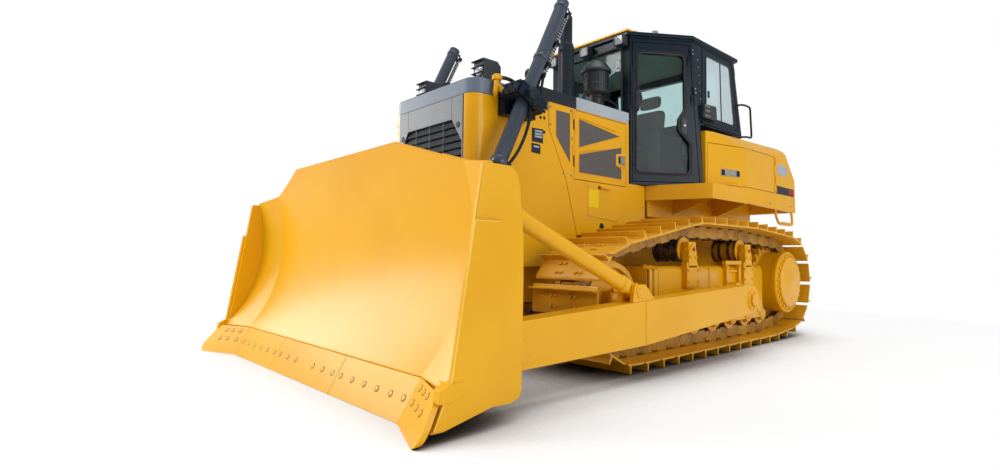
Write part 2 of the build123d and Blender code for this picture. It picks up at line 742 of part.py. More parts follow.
def rear_window(inward, outward, mode=Mode.ADD):
    """The rear window's place, as a leaning slab between two depths from the rear face."""
    low, high = rear_pane[1]
    slab = ((ahead(rear_at(low) + outward), low), (ahead(rear_at(low) + inward), low),
            (ahead(rear_at(high) + inward), high), (ahead(rear_at(high) + outward), high))
    profile(slab, (-1 if mode == Mode.SUBTRACT else 0, rear_pane[0][1]), mode=mode)


quarter_shape = [(ahead(x), z) for x, z in quarter_pane]
leaf = (jamb + gap, door_low + gap, door_high - gap)
with BuildPart() as cab_shell:
    plan(upper_half, (sill_z, cab_eave_z))
    plan(lower_half, (deck_z, sill_z))
    leaning_cut(0)
    side_cut(0)
    add(cab_hollow.part, mode=Mode.SUBTRACT)
    on_door([(jamb, door_low), (jamb, door_high)] + beside_corner(jamb, door_low, door_high),
            (-1, cab_wall + 60), Mode.SUBTRACT)
    block((ahead(cab_front - cab_wall - 1), ahead(cab_front + 1)), (-1, front_pane[0][1]), front_pane[1],
          mode=Mode.SUBTRACT)
    profile(quarter_shape, (side_at(cab_eave_z) - cab_wall - 20, cab_half + 1), mode=Mode.SUBTRACT)
    rear_window(cab_wall + 5, -5, mode=Mode.SUBTRACT)
    mirror(cab_shell.part, about=Plane.XZ)
write(cab_shell.part, "cab_shell")

glass = 8
glass_depth = 40             # the panes' inner faces, inside the cab's faces
with BuildPart() as quarter_glass:
    low, high = quarter_pane[3][1], quarter_pane[0][1]
    elevation([(side_at(z) - depth, z) for depth, ends in ((glass_depth, (low, high)),
                                                           (glass_depth - glass, (high, low))) for z in ends],
              (ahead(0), ahead(cab_front)))
    profile(quarter_shape, (0, cab_half), mode=Mode.INTERSECT)
with BuildPart() as cab_glass:
    x = ahead(cab_front - glass_depth)
    block((x, x + glass), (0, front_pane[0][1]), front_pane[1])
    add(quarter_glass.part)
    rear_window(glass_depth, glass_depth - glass)
    mirror(cab_glass.part, about=Plane.XZ)
write(cab_glass.part, "cab_glass")

door_thickness = 50
door_pin = 9
door_knuckle_places = (2390, 2785)
door_knuckle_length = 100
hinge_plane = door_plane.offset(door_pin + running_gap)


def hinge_point(z):
    """The door's hinge line at a height."""
    return hinge_plane.from_local_coords((run_at(z) - jamb, z, 0))


hinge_line = (hinge_point(cab_eave_z) - hinge_point(deck_z)).normalized()
hinge_middle = hinge_point(2600)
print("cab door hinge", [round(c, 4) for c in hinge_middle], [round(c, 8) for c in hinge_line])
with BuildPart() as cab_door:
    on_door([(leaf[0], leaf[1]), (leaf[0], leaf[2])] + beside_corner(leaf[0], leaf[1], leaf[2]),
            (0, door_thickness), Mode.ADD)
    door_window((-1, door_thickness + 1), Mode.SUBTRACT)
    for z in door_knuckle_places:
        rear_edge = beside_corner(jamb, z, z + door_knuckle_length)
        front_edge = beside_corner(jamb + 34, z, z + door_knuckle_length)[::-1]
        on_door(rear_edge + front_edge, (-door_pin, 0), Mode.ADD)
        with BuildSketch(Plane(origin=hinge_point(z), z_dir=hinge_line)) as pin:
            Circle(door_pin)
        extrude(pin.sketch, amount=door_knuckle_length)
write_pair(cab_door.part, "cab_door")

with BuildPart() as door_glass:
    door_window((20, 20 + glass), Mode.ADD)
write_pair(door_glass.part, "cab_door_glass")

roof_rear = rear_at(cab_eave_z) - 90
eave_half = side_at(cab_eave_z)
eave_corner = cab_front + run_at(cab_eave_z) * door_dir[0]
fascia = 43
with BuildPart() as cab_roof:
    outline = ((ahead(roof_rear), 0), (ahead(cab_front + 30), 0), (ahead(cab_front + 30), cab_front_half + 6),
               (ahead(eave_corner + 4), eave_half + 14), (ahead(roof_rear), eave_half + 14))
    plan(outline, (cab_eave_z, cab_eave_z + fascia))
    mirror(cab_roof.part, about=Plane.XZ)
write(cab_roof.part, "cab_roof")

cap_half = 518
cap_sheet = 20
crown_taper = 30
with BuildPart() as roof_cap:
    outline = ((ahead(600), -cap_half), (ahead(cab_front + 42), -cap_half), (ahead(cab_front + 42), cap_half),
               (ahead(600), cap_half))
    plan(outline, (cab_eave_z + fascia, cab_eave_z + fascia + cap_sheet))
    with BuildSketch(Plane.XY.offset(cab_eave_z + fascia + cap_sheet)) as crown:
        with Locations((ahead(1150), 0)):
            Rectangle(1020, 2 * cap_half - 60)
    extrude(crown.sketch, amount=roof_top_z - cab_eave_z - fascia - cap_sheet, taper=crown_taper)
write(roof_cap.part, "roof_cap")

with BuildPart() as work_lamps:
    for y in (-440, 0, 440):
        block((ahead(cab_front + 4), ahead(cab_front + 84)), (y - 55, y + 55), (cab_eave_z - 100, cab_eave_z))
    for side in (-1, 1):
        y = side * 780
        block((ahead(roof_rear + 6), ahead(rear_at(cab_eave_z - 80) - 3)), (y - 45, y + 45),
              (cab_eave_z - 80, cab_eave_z))
write(work_lamps.part, "work_lamps")

floor_z = deck_z + 60
with BuildPart() as seat:
    block((ahead(760), ahead(1120)), (-170, 170), (floor_z, floor_z + 300))
    block((ahead(720), ahead(1220)), (-260, 260), (floor_z + 300, floor_z + 440))
    back = ((ahead(720), floor_z + 440), (ahead(850), floor_z + 440), (ahead(700), floor_z + 1060),
            (ahead(590), floor_z + 1060))
    profile(back, (-250, 250))
    head = ((ahead(590), floor_z + 1060), (ahead(690), floor_z + 1060), (ahead(650), floor_z + 1240),
            (ahead(560), floor_z + 1240))
    profile(head, (-140, 140))
write(seat.part, "seat")

with BuildPart() as console:
    for side in (-1, 1):
        y = side * 400
        block((ahead(640), ahead(1180)), (y - 75, y + 75), (floor_z, floor_z + 560))
        upright(ahead(1110), y, (floor_z + 560, floor_z + 720), 22)
    dash = ((ahead(1540), floor_z), (ahead(1730), floor_z), (ahead(1730), floor_z + 640),
            (ahead(1650), floor_z + 760), (ahead(1540), floor_z + 640))
    profile(dash, (-230, 230))
write(console.part, "console")

# ================================================================ fenders and tank
fender_inner = 560
fender_front_outer = 1352
fender_rear = -760
lip_rear = 615               # where the deck's folded lip ends and the tank's skirt begins
skirt = 24                   # the tank's side skin goes on down below the deck
inside_skirt = tank_half - skirt - gap
with BuildPart() as fender:
    outline = ((ahead(fender_front_inner), fender_inner), (ahead(fender_front_outer), deck_edge),
               (ahead(lip_rear), deck_edge), (ahead(lip_rear), inside_skirt),
               (ahead(fender_rear), inside_skirt), (ahead(fender_rear), fender_inner))
    plan(outline, (deck_z - sheet, deck_z))
    block((ahead(lip_rear), ahead(fender_front_outer)), (deck_edge - sheet, deck_edge),
          (deck_z - deck_lip, deck_z))
    lip = ((ahead(fender_front_inner), fender_inner), (ahead(fender_front_outer), deck_edge),
           (ahead(fender_front_outer - 21), deck_edge), (ahead(fender_front_inner - 21), fender_inner))
    plan(lip, (deck_z - deck_lip, deck_z))
    side = ((ahead(fender_front_inner - 21), deck_z - deck_lip), (ahead(fender_front_inner - 21), case_top_z),
            (ahead(fender_rear), case_top_z), (ahead(fender_rear), deck_z - sheet),
            (ahead(fender_front_inner - 21), deck_z - sheet))
    profile(side, (fender_inner - 6, fender_inner + 14))
    for x, reach in ((250, inside_skirt), (1100, deck_edge - sheet)):
        brace = ((fender_inner, 1300), (fender_inner, deck_z - sheet), (reach, deck_z - sheet),
                 (reach, deck_z - 90))
        elevation(brace, (ahead(x), ahead(x + 16)))
write_pair(fender.part, "fender")

tank_front = (1098, 944)
tank_bend = (498, tank_half)
tank_profile = ((1098, deck_z), (1098, tank_top_z), (-440, tank_top_z), (-524, 2123), (-827, 1797),
                (-rear_overhang, tank_bottom_z), (615, tank_bottom_z + 30), (615, deck_z))
facet = Plane(origin=(ahead(864), 1000, tank_top_z - 32), z_dir=(0.0447, 0.8171, 0.5748))
door_skin = 24
tank_hinge = -246            # the side door's hinge edge
tank_door_z = (1610, 2022)
tank_knuckles = (1630, 1830)
with BuildPart() as tank_outer:
    outline = ((ahead(tank_front[0]), 0), (ahead(tank_front[0]), tank_front[1]),
               (ahead(tank_bend[0]), tank_bend[1]), (ahead(-rear_overhang), tank_bend[1]),
               (ahead(-rear_overhang), 0))
    plan(outline, (tank_bottom_z, tank_top_z))
    profile([(ahead(x), z) for x, z in tank_profile], (-1, tank_half + 1), mode=Mode.INTERSECT)
    split(bisect_by=facet, keep=Keep.BOTTOM)

bend_run = hypot(tank_front[0] - tank_bend[0], tank_bend[1] - tank_front[1])
bend_dir = ((tank_bend[0] - tank_front[0]) / bend_run, (tank_bend[1] - tank_front[1]) / bend_run)


def side_shell(front, rear, inner, outer):
    """A plan outline that follows the tank's bent side, between two depths inside its skin."""
    half_turn = tan(atan2(bend_dir[1], -bend_dir[0]) / 2)
    start = (tank_front[0] + bend_dir[0] * front, tank_front[1] + bend_dir[1] * front)
    outline = []
    for depth in (outer, inner):
        row = [(start[0] - bend_dir[1] * depth, start[1] + bend_dir[0] * depth),
               (tank_bend[0] - half_turn * depth, tank_bend[1] - depth),
               (rear, tank_bend[1] - depth)]
        outline += row if depth == outer else row[::-1]
    return [(ahead(x), y) for x, y in outline]


with BuildPart() as rear_tank:
    add(tank_outer.part)
    clear = 12
    low, high = deck_z - 400, tank_top_z + 10
    profile([(ahead(rear_at(low) - clear), low), (ahead(1400), low), (ahead(1400), high),
             (ahead(rear_at(high) - clear), high)], (-1, cab_low_half + clear), mode=Mode.SUBTRACT)
    plan(side_shell(24, tank_hinge - gap, door_skin + 4, -60), (tank_door_z[0] - gap, tank_door_z[1] + gap),
         mode=Mode.SUBTRACT)
    block((ahead(-760), ahead(1400)), (-1, fender_inner + 14), (1200, deck_z), mode=Mode.SUBTRACT)
    for rear, reach in ((fender_rear, tank_half - skirt), (lip_rear - 40, tank_half + 60)):
        block((ahead(rear), ahead(1400)), (-1, reach), (1200, deck_z), mode=Mode.SUBTRACT)
    for z in tank_knuckles:
        hinge_half(tank_hinge - 1, tank_half, z + knuckle_length + running_gap, -30)
    mirror(rear_tank.part, about=Plane.XZ)
write(rear_tank.part, "rear_tank")

with BuildPart() as tank_door:
    plan(side_shell(30, tank_hinge, door_skin, 0), tank_door_z)
    for z in tank_knuckles:
        hinge_half(tank_hinge - 1, tank_half, z, 30)
write_pair(tank_door.part, "tank_door")

# ================================================================ blade
half = hypot(board_top[0] - edge_high[0], board_top[1] - edge_high[1]) / 2
chord = ((board_top[0] - edge_high[0]) / 2 / half, (board_top[1] - edge_high[1]) / 2 / half)
bow = sqrt(board_radius ** 2 - half ** 2)
bow_centre = ((board_top[0] + edge_high[0]) / 2 + chord[1] * bow,
              (board_top[1] + edge_high[1]) / 2 - chord[0] * bow)
board_plate = 24
crease_x = edge_low[0]


def board_at(z, depth=0):
    """The moldboard's face at a height, or its back at a depth, ahead of the sprocket."""
    r = board_radius + depth
    return bow_centre[0] - sqrt(r ** 2 - (z - bow_centre[1]) ** 2)


centre_plane = Plane(origin=(sprocket_x, 0, 0), x_dir=(1, 0, 0), z_dir=(0, -1, 0))


def wing_plane(angle):
    """The plane of a wing's section, for a wing turned forward by an angle."""
    turn = radians(angle)
    x_dir = (cos(turn), -sin(turn), 0)
    origin = (ahead(crease_x) - x_dir[0] * crease_x, crease_y - x_dir[1] * crease_x, 0)
    return Plane(origin=origin, x_dir=x_dir, z_dir=(-sin(turn), -cos(turn), 0))


def crease_at(x, angle=wing_angle):
    """The Y where a wing begins."""
    return crease_y + (crease_x - x) * tan(radians(angle) / 2)


def along_blade(section, reach_y, centre_gap=0, middle=True, wings=True, angle=wing_angle):
    """A section carried along the blade's left half: its centre, and its wing past the crease."""
    x0, x1 = crease_x - 900, crease_x + 500
    halves = []
    if middle:
        with BuildPart() as centre:
            extrude(section(centre_plane), amount=-2000)
            plan([(ahead(x0), centre_gap), (ahead(x1), centre_gap), (ahead(x1), crease_at(x1, angle)),
                  (ahead(x0), crease_at(x0, angle))], (-200, 2000), mode=Mode.INTERSECT)
        halves.append(centre.part)
    if wings:
        with BuildPart() as tip:
            extrude(section(wing_plane(angle).offset(500)), amount=-2000)
            plan([(ahead(x0), crease_at(x0, angle)), (ahead(x1), crease_at(x1, angle)), (ahead(x1), reach_y),
                  (ahead(x0), reach_y)], (-200, 2000), mode=Mode.INTERSECT)
        halves.append(tip.part)
    return halves


def board_section(plane):
    """The moldboard's curved plate."""
    low, middle, high = edge_high[1] + 1, edge_high[1] + 657, board_top[1]
    face = [(board_at(z), z) for z in (low, middle, high)]
    back = [(board_at(z, board_plate), z) for z in (high, middle, low)]
    with BuildSketch(plane) as section:
        with BuildLine():
            ThreePointArc(*face)
            Line(face[2], back[0])
            ThreePointArc(*back)
            Line(back[2], face[0])
        make_face()
    return section.sketch


def straight_section(points):
    """A straight-sided section, for along_blade."""
    def section(plane):
        with BuildSketch(plane) as shape:
            with BuildLine():
                Polyline(*points, close=True)
            make_face()
        return shape.sketch
    return section


def beam(low, high, rear_low, rear_high):
    """A box beam on the moldboard's back, between two heights."""
    inside = board_plate / 2
    middle = (low + high) / 2
    return straight_section([(rear_low, low), (rear_high, high), (board_at(high, inside), high),
                             (board_at(middle, inside), middle), (board_at(low, inside), low)])


slope = hypot(edge_low[0] - edge_high[0], edge_high[1])
edge_dir = ((edge_high[0] - edge_low[0]) / slope, edge_high[1] / slope)
edge_back = (-edge_dir[1] * edge_thickness, edge_dir[0] * edge_thickness)
edge_heel = (edge_low[0] + edge_back[0] + edge_dir[0] * 20, edge_back[1] + edge_dir[1] * 20)
edge_section = straight_section([edge_low, edge_high, (edge_high[0] + edge_back[0], edge_high[1] + edge_back[1]),
                                 edge_heel])


def behind_edge(z):
    """The back of the cutting edge at a height, ahead of the sprocket."""
    return edge_low[0] + edge_back[0] + (z - edge_back[1]) * edge_dir[0] / edge_dir[1]


edge_back_top = edge_high[1] + edge_back[1]
heel_section = straight_section([(behind_edge(60), 60), (behind_edge(edge_back_top), edge_back_top),
                                 (board_at(edge_high[1] + 30, board_plate / 2), edge_high[1] + 30),
                                 (blade_back + 60, edge_high[1] + 20), (blade_back + 330, 90)])

blade_low = edge_high[1] + 20
arm_end = blade_back - 70
lug = (3165, 613)
brace_top = (blade_back - 5, 1110)
lug_gap = 34
brace_radius = 50
brace_neck = 115
brace_eye_half = 28
brace_eye_radius = 56
top_line = ((0, board_top[1]), (762, board_top[1]), (1345, 1365), (wear_outer + 40, 1302),
            (wear_outer + 40, -100), (0, -100))
# the side plate and its wear plate: how far behind the blade's tips, and the height
side_outline = ((390, 1302), (342, 1012), (212, 270), (95, 45), (164, 44), (441, 106), (580, 103), (641, 123),
                (657, 158), (662, 377), (666, 709), (665, 931), (634, 1219), (618, 1268), (579, 1302))
wear_outline = ((324, 1012), (197, 270), (97, 60), (165, 58), (441, 116), (487, 150), (487, 1012))
with BuildPart() as blade:
    for half_part in along_blade(board_section, side_inner + 1):
        add(half_part)
    for half_part in along_blade(heel_section, side_inner + 1, angle=bit_angle):
        add(half_part)
    for half_part in along_blade(beam(blade_low, 500, blade_back, blade_back), side_inner + 1):
        add(half_part)
    for half_part in along_blade(beam(1110, 1250, blade_back + 45, blade_back + 60), side_inner + 1):
        add(half_part)
    for y in (30, 380, cylinder_y, 1080, arm_middle):
        shift = max(0, y - crease_at(board_at(853))) * tan(radians(wing_angle))
        rear = blade_back + (85 if y == arm_middle else 0)
        rib = [(rear, blade_low), (rear, 700), (rear + 8, 1180)]
        rib += [(board_at(z, board_plate / 2) + shift, z) for z in (1180, 853, 500, blade_low + 30)]
        profile([(ahead(x), z) for x, z in rib], (y - 12, y + 12))
    elevation([(y, z) for y, z in top_line], (ahead(blade_back - 10), ahead(blade_tip)), mode=Mode.INTERSECT)
    profile([(ahead(blade_tip - back), z) for back, z in side_outline], (side_inner, side_outer))
    profile([(ahead(blade_tip - back), z) for back, z in wear_outline], (side_outer, wear_outer))
    block((ahead(blade_back - 70), ahead(blade_back + 60)), (arm_inner - 6, arm_outer + 6), (196, 520))
    for side in (-1, 1):
        y = cylinder_y + side * 62
        ear = [(blade_back + 10, 470), (blade_back + 10, 690), (eye[0] + 20, eye[1] + 62)]
        ear += [(eye[0] - 55, eye[1] + 30), (eye[0] - 55, eye[1] - 30), (eye[0] + 20, eye[1] - 62)]
        profile([(ahead(x), z) for x, z in ear], (y - 12, y + 12))
        across(ahead(eye[0]), eye[1], (y + side * 10 - 10, y + side * 10 + 10), 34)
    for side in (-1, 1):
        y = arm_middle + side * 44
        ear = [(blade_back + 100, 990), (blade_back + 100, 1210), (brace_top[0], 1172)]
        ear += [(brace_top[0] - 58, 1130), (brace_top[0] - 58, 1080), (brace_top[0], 1042)]
        profile([(ahead(x), z) for x, z in ear], (y - 12, y + 12))
    mirror(blade.part, about=Plane.XZ)
write(blade.part, "blade")

with BuildPart() as cutting_edge:
    outer_length = along_blade(edge_section, bit_head, edge_joint + 1, wings=False, angle=bit_angle)
    for half_part in outer_length:
        add(half_part)
    mirror(cutting_edge.part, about=Plane.XZ)
    extrude(edge_section(centre_plane.offset(edge_joint - 1)), amount=2 - 2 * edge_joint)
write(cutting_edge.part, "cutting_edge")

bit_clear = 300              # above the end bits
with BuildPart() as end_bits:
    for half_part in along_blade(edge_section, bit_foot + 40, middle=False, angle=bit_angle):
        add(half_part)
    outer_edge = bit_foot + (bit_head - bit_foot) / edge_high[1] * bit_clear
    with BuildSketch(Plane.YZ.offset(ahead(crease_x - 900))) as outline:
        with BuildLine():
            Polyline((0, -1), (bit_foot, -1), (outer_edge, bit_clear), (0, bit_clear), close=True)
        make_face()
        fillet(outline.vertices().sort_by(Axis.X)[-1], radius=bit_corner)
    extrude(outline.sketch, amount=2000, mode=Mode.INTERSECT)
    block((ahead(blade_tip), ahead(blade_tip + 400)), (0, bit_foot + 60), (-2, bit_clear), mode=Mode.SUBTRACT)
    mirror(end_bits.part, about=Plane.XZ)
write(end_bits.part, "end_bits")

# ================================================================ push arms and braces
with BuildPart() as push_arm:
    outline = [(arm_end, 490), (3110, 545), (1558, 610), (trunnion[0] + 10, 604)]
    outline += [(trunnion[0] + 10, trunnion[1] - 118), (1558, 357), (3110, 246), (arm_end, 228)]
    profile([(ahead(x), z) for x, z in outline], (arm_inner, arm_outer))
    across(ahead(trunnion[0]), trunnion[1], (arm_inner, arm_outer), 124)
    across(ahead(trunnion[0]), trunnion[1], (arm_inner - 1, arm_outer - 10), trunnion_radius + running_gap,
           mode=Mode.SUBTRACT)
    for side in (-1, 1):
        y = arm_middle + side * (lug_gap + 14)
        ear = [(lug[0] - 190, 540), (lug[0] - 60, lug[1] + 45), (lug[0] + 60, lug[1] + 45),
               (lug[0] + 75, lug[1]), (lug[0] + 85, 540)]
        profile([(ahead(x), z) for x, z in ear], (y - 14, y + 14))
        across(ahead(lug[0]), lug[1], (y - 20, y + 20), 40)
write_pair(push_arm.part, "push_arm")

brace_run = hypot(brace_top[0] - lug[0], brace_top[1] - lug[1])
brace_dir = ((brace_top[0] - lug[0]) / brace_run, (brace_top[1] - lug[1]) / brace_run)
brace_plane = Plane(origin=(ahead(lug[0]), arm_middle, lug[1]), x_dir=(0, 1, 0),
                    z_dir=(brace_dir[0], 0, brace_dir[1]))
with BuildPart() as blade_braces:
    with BuildSketch(brace_plane):
        Rectangle(2 * brace_eye_half, 84)
    extrude(amount=brace_run)
    with BuildSketch(brace_plane.offset(brace_neck)):
        Circle(brace_radius)
    extrude(amount=brace_run - 2 * brace_neck)
    for x, z in (lug, brace_top):
        across(ahead(x), z, (arm_middle - brace_eye_half, arm_middle + brace_eye_half), brace_eye_radius)
    mirror(blade_braces.part, about=Plane.XZ)
write(blade_braces.part, "blade_braces")
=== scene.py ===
# %% [markdown]
# # A crawler bulldozer, finished for the shelf
#
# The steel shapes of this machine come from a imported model, which is loaded first and never
# moved.  This lesson puts the looks on it: rounded sheet edges, paint, tracks with their
# links and bolts, hoses, lamps, mesh panels and the cab's trim.  Everything is in metres,
# with +X forward, +Y to the machine's left and +Z up.

# %% Load the frame
import bpy
import bmesh
import json
from math import asin, atan2, cos, hypot, pi, radians, sin, sqrt, tan
from mathutils import Matrix, Vector


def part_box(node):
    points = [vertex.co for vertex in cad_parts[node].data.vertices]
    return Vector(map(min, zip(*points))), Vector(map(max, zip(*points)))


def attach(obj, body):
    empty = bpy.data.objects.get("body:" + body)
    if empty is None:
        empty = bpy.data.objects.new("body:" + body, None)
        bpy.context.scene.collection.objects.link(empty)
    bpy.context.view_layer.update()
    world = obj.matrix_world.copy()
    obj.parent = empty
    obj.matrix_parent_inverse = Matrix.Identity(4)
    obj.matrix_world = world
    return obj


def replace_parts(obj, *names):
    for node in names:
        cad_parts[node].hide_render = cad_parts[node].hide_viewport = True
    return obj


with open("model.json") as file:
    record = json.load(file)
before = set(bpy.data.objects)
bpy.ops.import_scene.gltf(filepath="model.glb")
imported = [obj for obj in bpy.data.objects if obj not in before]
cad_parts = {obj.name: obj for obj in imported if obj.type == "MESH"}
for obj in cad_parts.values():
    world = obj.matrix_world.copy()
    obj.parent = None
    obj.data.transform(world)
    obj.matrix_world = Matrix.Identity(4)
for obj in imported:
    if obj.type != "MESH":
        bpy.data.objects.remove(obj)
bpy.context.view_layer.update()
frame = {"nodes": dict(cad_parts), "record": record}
body_of = {node: body for body, nodes in frame["record"]["behaviour"]["bodies"].items()
    for node in nodes}
scene = bpy.context.scene

# %% [markdown]
# ## The camera
#
# The picture is taken with a wide lens from near the blade's left corner, at chest height and
# tilted up a little.  A camera looks along its own -Z, so its matrix is built from the
# direction of view and rolled about it by a fraction of a degree.

# %% Camera
eye_point = Vector((4.30674, 3.71640, 0.83472))
yaw, pitch, roll = radians(47.926), radians(2.319), radians(0.477)
look = Vector((-cos(yaw) * cos(pitch), -sin(yaw) * cos(pitch), sin(pitch)))
right = look.cross(Vector((0, 0, 1))).normalized()
upward = right.cross(look)
right, upward = right * cos(roll) + upward * sin(roll), upward * cos(roll) - right * sin(roll)
camera_data = bpy.data.cameras.new("view")
camera_data.sensor_width = 36.0
camera_data.lens = 20.02
camera = bpy.data.objects.new("view", camera_data)
camera.matrix_world = Matrix.Translation(eye_point) @ Matrix((right, upward,
    -look)).transposed().to_4x4()
scene.collection.objects.link(camera)
scene.camera = camera
print("camera at", [round(c, 3) for c in eye_point])

# %% [markdown]
# ## Light and floor
#
# Painted steel needs large soft lights: they leave long, gentle highlights on the curved
# blade and on rounded edges.  The world gives an even fill, one big panel over the camera's
# left shoulder gives the main direction, and a second one brightens the side.  The floor is
# nearly white and keeps the machine's shadow, which painted shade deepens where the machine
# hides the sky.

# %% World
scene.view_settings.view_transform = "Standard"
world = bpy.data.worlds.new("studio")
scene.world = world
world.use_nodes = True
tree = world.node_tree
tree.nodes.clear()
paths = tree.nodes.new("ShaderNodeLightPath")
fill = tree.nodes.new("ShaderNodeBackground")
fill.inputs["Color"].default_value = (0.95, 0.97, 1.0, 1)
fill.inputs["Strength"].default_value = 0.52
backdrop = tree.nodes.new("ShaderNodeBackground")
backdrop.inputs["Color"].default_value = (1, 1, 1, 1)
seen = tree.nodes.new("ShaderNodeMath")
seen.operation = "MAXIMUM"
choose = tree.nodes.new("ShaderNodeMixShader")
out = tree.nodes.new("ShaderNodeOutputWorld")
tree.links.new(paths.outputs["Is Camera Ray"], seen.inputs[0])
tree.links.new(paths.outputs["Is Transmission Ray"], seen.inputs[1])
tree.links.new(seen.outputs[0], choose.inputs["Fac"])
tree.links.new(fill.outputs["Background"], choose.inputs[1])
tree.links.new(backdrop.outputs["Background"], choose.inputs[2])
tree.links.new(choose.outputs["Shader"], out.inputs["Surface"])


def lamp(name, place, aim, size, power, colour=(1, 1, 1)):
    """A square soft box at a place, turned to a point."""
    data = bpy.data.lights.new(name, "AREA")
    data.shape = "RECTANGLE"
    data.size, data.size_y = size
    data.energy = power
    data.color = colour
    lamp_object = bpy.data.objects.new(name, data)
    lamp_object.location = place
    lamp_object.rotation_euler = (Vector(aim) - Vector(place)).to_track_quat("-Z", "Y").to_euler()
    scene.collection.objects.link(lamp_object)


lamp("key", (11.0, -6.0, 9.0), (0.5, 0, 1.0), (4, 4), 850, (1.0, 0.99, 0.96))
lamp("side", (-1.0, 12.0, 4.0), (0, 0, 1.2), (8, 4), 420)
lamp("top", (0.0, 2.0, 14.0), (0, 0, 1.2), (8, 8), 640)
lamp("sweep", (5.0, -8.0, 4.0), (2.7, 0, 0.5), (8, 2.7), 380, (1.0, 0.98, 0.94))
print("lights in place")

# %% [markdown]
# ## Shader maths as plain sums
#
# A material's numbers come from many small nodes.  This class wraps a node's output so that
# `1 - mask * 0.5` adds the Math nodes by itself, and `Finish` holds one material with one
# method that adds any other node.

# %% Wires and finishes
class Wire:
    """A number, colour or vector inside a material."""

    def __init__(self, finish, socket):
        self.finish = finish
        self.socket = socket

    def maths(self, operation, first, second):
        return self.finish.node("ShaderNodeMath", {"operation": operation}, {0: first, 1: second})

    def __add__(self, other):
        return self.maths("ADD", self, other)

    __radd__ = __add__

    def __sub__(self, other):
        return self.maths("SUBTRACT", self, other)

    def __rsub__(self, other):
        return self.maths("SUBTRACT", other, self)

    def __mul__(self, other):
        return self.maths("MULTIPLY", self, other)

    __rmul__ = __mul__

    def __truediv__(self, other):
        return self.maths("DIVIDE", self, other)

    def __pow__(self, other):
        return self.maths("POWER", self, other)


def with_alpha(value):
    """A plain colour gets its fourth number; anything else stays as it is."""
    return (*value, 1) if isinstance(value, tuple) and len(value) == 3 else value


class Finish:
    """One material, built round a Principled shader whose plain values are given by name."""

    def __init__(self, name, **plain):
        self.material = bpy.data.materials.new(name)
        self.material.use_nodes = True
        self.tree = self.material.node_tree
        self.shader = self.tree.nodes["Principled BSDF"]
        for key, value in plain.items():
            socket = self.shader.inputs[key.replace("_", " ")]
            socket.default_value = with_alpha(value)

    def node(self, kind, settings=None, values=None, output=0):
        """Any node: its type, its settings, and the values or wires of its sockets."""
        made = self.tree.nodes.new(kind)
        for key, value in (settings or {}).items():
            setattr(made, key, value)
        for key, value in (values or {}).items():
            if isinstance(value, Wire):
                self.tree.links.new(value.socket, made.inputs[key])
            else:
                made.inputs[key].default_value = value
        return Wire(self, made.outputs[output])

    def set(self, name, wire):
        self.tree.links.new(wire.socket, self.shader.inputs[name])

    def blend_into(self, other, factor):
        """Mix the Principled shader with another one."""
        both = self.node("ShaderNodeMixShader", None, {0: factor,
            1: Wire(self, self.shader.outputs[0]), 2: other})
        self.tree.links.new(both.socket, self.tree.nodes["Material Output"].inputs["Surface"])

    def place(self):
        """Where a point is on the machine, in metres."""
        return self.node("ShaderNodeTexCoord", output="Object")

    def noise(self, scale, detail=3.0, roughness=0.5, stretch=None):
        place = self.place()
        if stretch:
            place = self.node("ShaderNodeMapping", None, {"Vector": place, "Scale": stretch})
        return self.node("ShaderNodeTexNoise", None, {"Vector": place, "Scale": scale,
            "Detail": detail, "Roughness": roughness})

    def between(self, value, low, high):
        """0 below low, 1 above high, and a smooth step between."""
        return self.node("ShaderNodeMapRange", {"interpolation_type": "SMOOTHSTEP"},
            {"Value": value, "From Min": low, "From Max": high})

    def mix(self, factor, first, second):
        """From the first colour to the second."""
        return self.node("ShaderNodeMix", {"data_type": "RGBA"},
            {0: factor, 6: with_alpha(first), 7: with_alpha(second)}, 2)

    def bump(self, height, strength, distance, under=None):
        values = {"Height": height, "Strength": strength, "Distance": distance}
        if under:
            values["Normal"] = under
        return self.node("ShaderNodeBump", None, values)


print("shader tools ready")

# %% [markdown]
# ## Paint
#
# Machine paint is not one flat colour.  It has a fine orange-peel skin, sheets that are never
# quite flat, patches a little redder or paler than the rest, and a breath of dust on what
# faces up.  All of the painted finishes share this recipe and differ in their colours.

# %% Painted finishes
def paint(name, colour, deeper, dust, gloss=0.42, coat=0.12, dust_most=0.08):
    """Sprayed steel: two close shades, a little dust on top, orange peel and uneven gloss."""
    made = Finish(name, Coat_Roughness=0.23, IOR=1.5, Specular_IOR_Level=0.10)
    patches = made.between(made.noise(1.3, 4.0), 0.35, 0.7)
    up = made.node("ShaderNodeSeparateXYZ", None, {0: made.node("ShaderNodeNewGeometry",
        output=1)}, 2)
    settled = made.between(up, 0.55, 1.0) * made.between(made.noise(7.0, 5.0, 0.6), 0.42,
        0.75) * dust_most
    made.set("Base Color", made.mix(settled, made.mix(patches, colour, deeper), dust))
    smears = made.noise(5.0, 4.0, 0.6)
    made.set("Roughness", smears * 0.12 + (gloss - 0.06) + settled)
    made.set("Coat Weight", (1 - settled * 4) * coat)
    peel = made.bump(made.noise(420.0, 1.0), 0.035, 0.001)
    made.set("Normal", made.bump(made.noise(2.2, 1.0), 0.10, 0.012, peel))
    return made


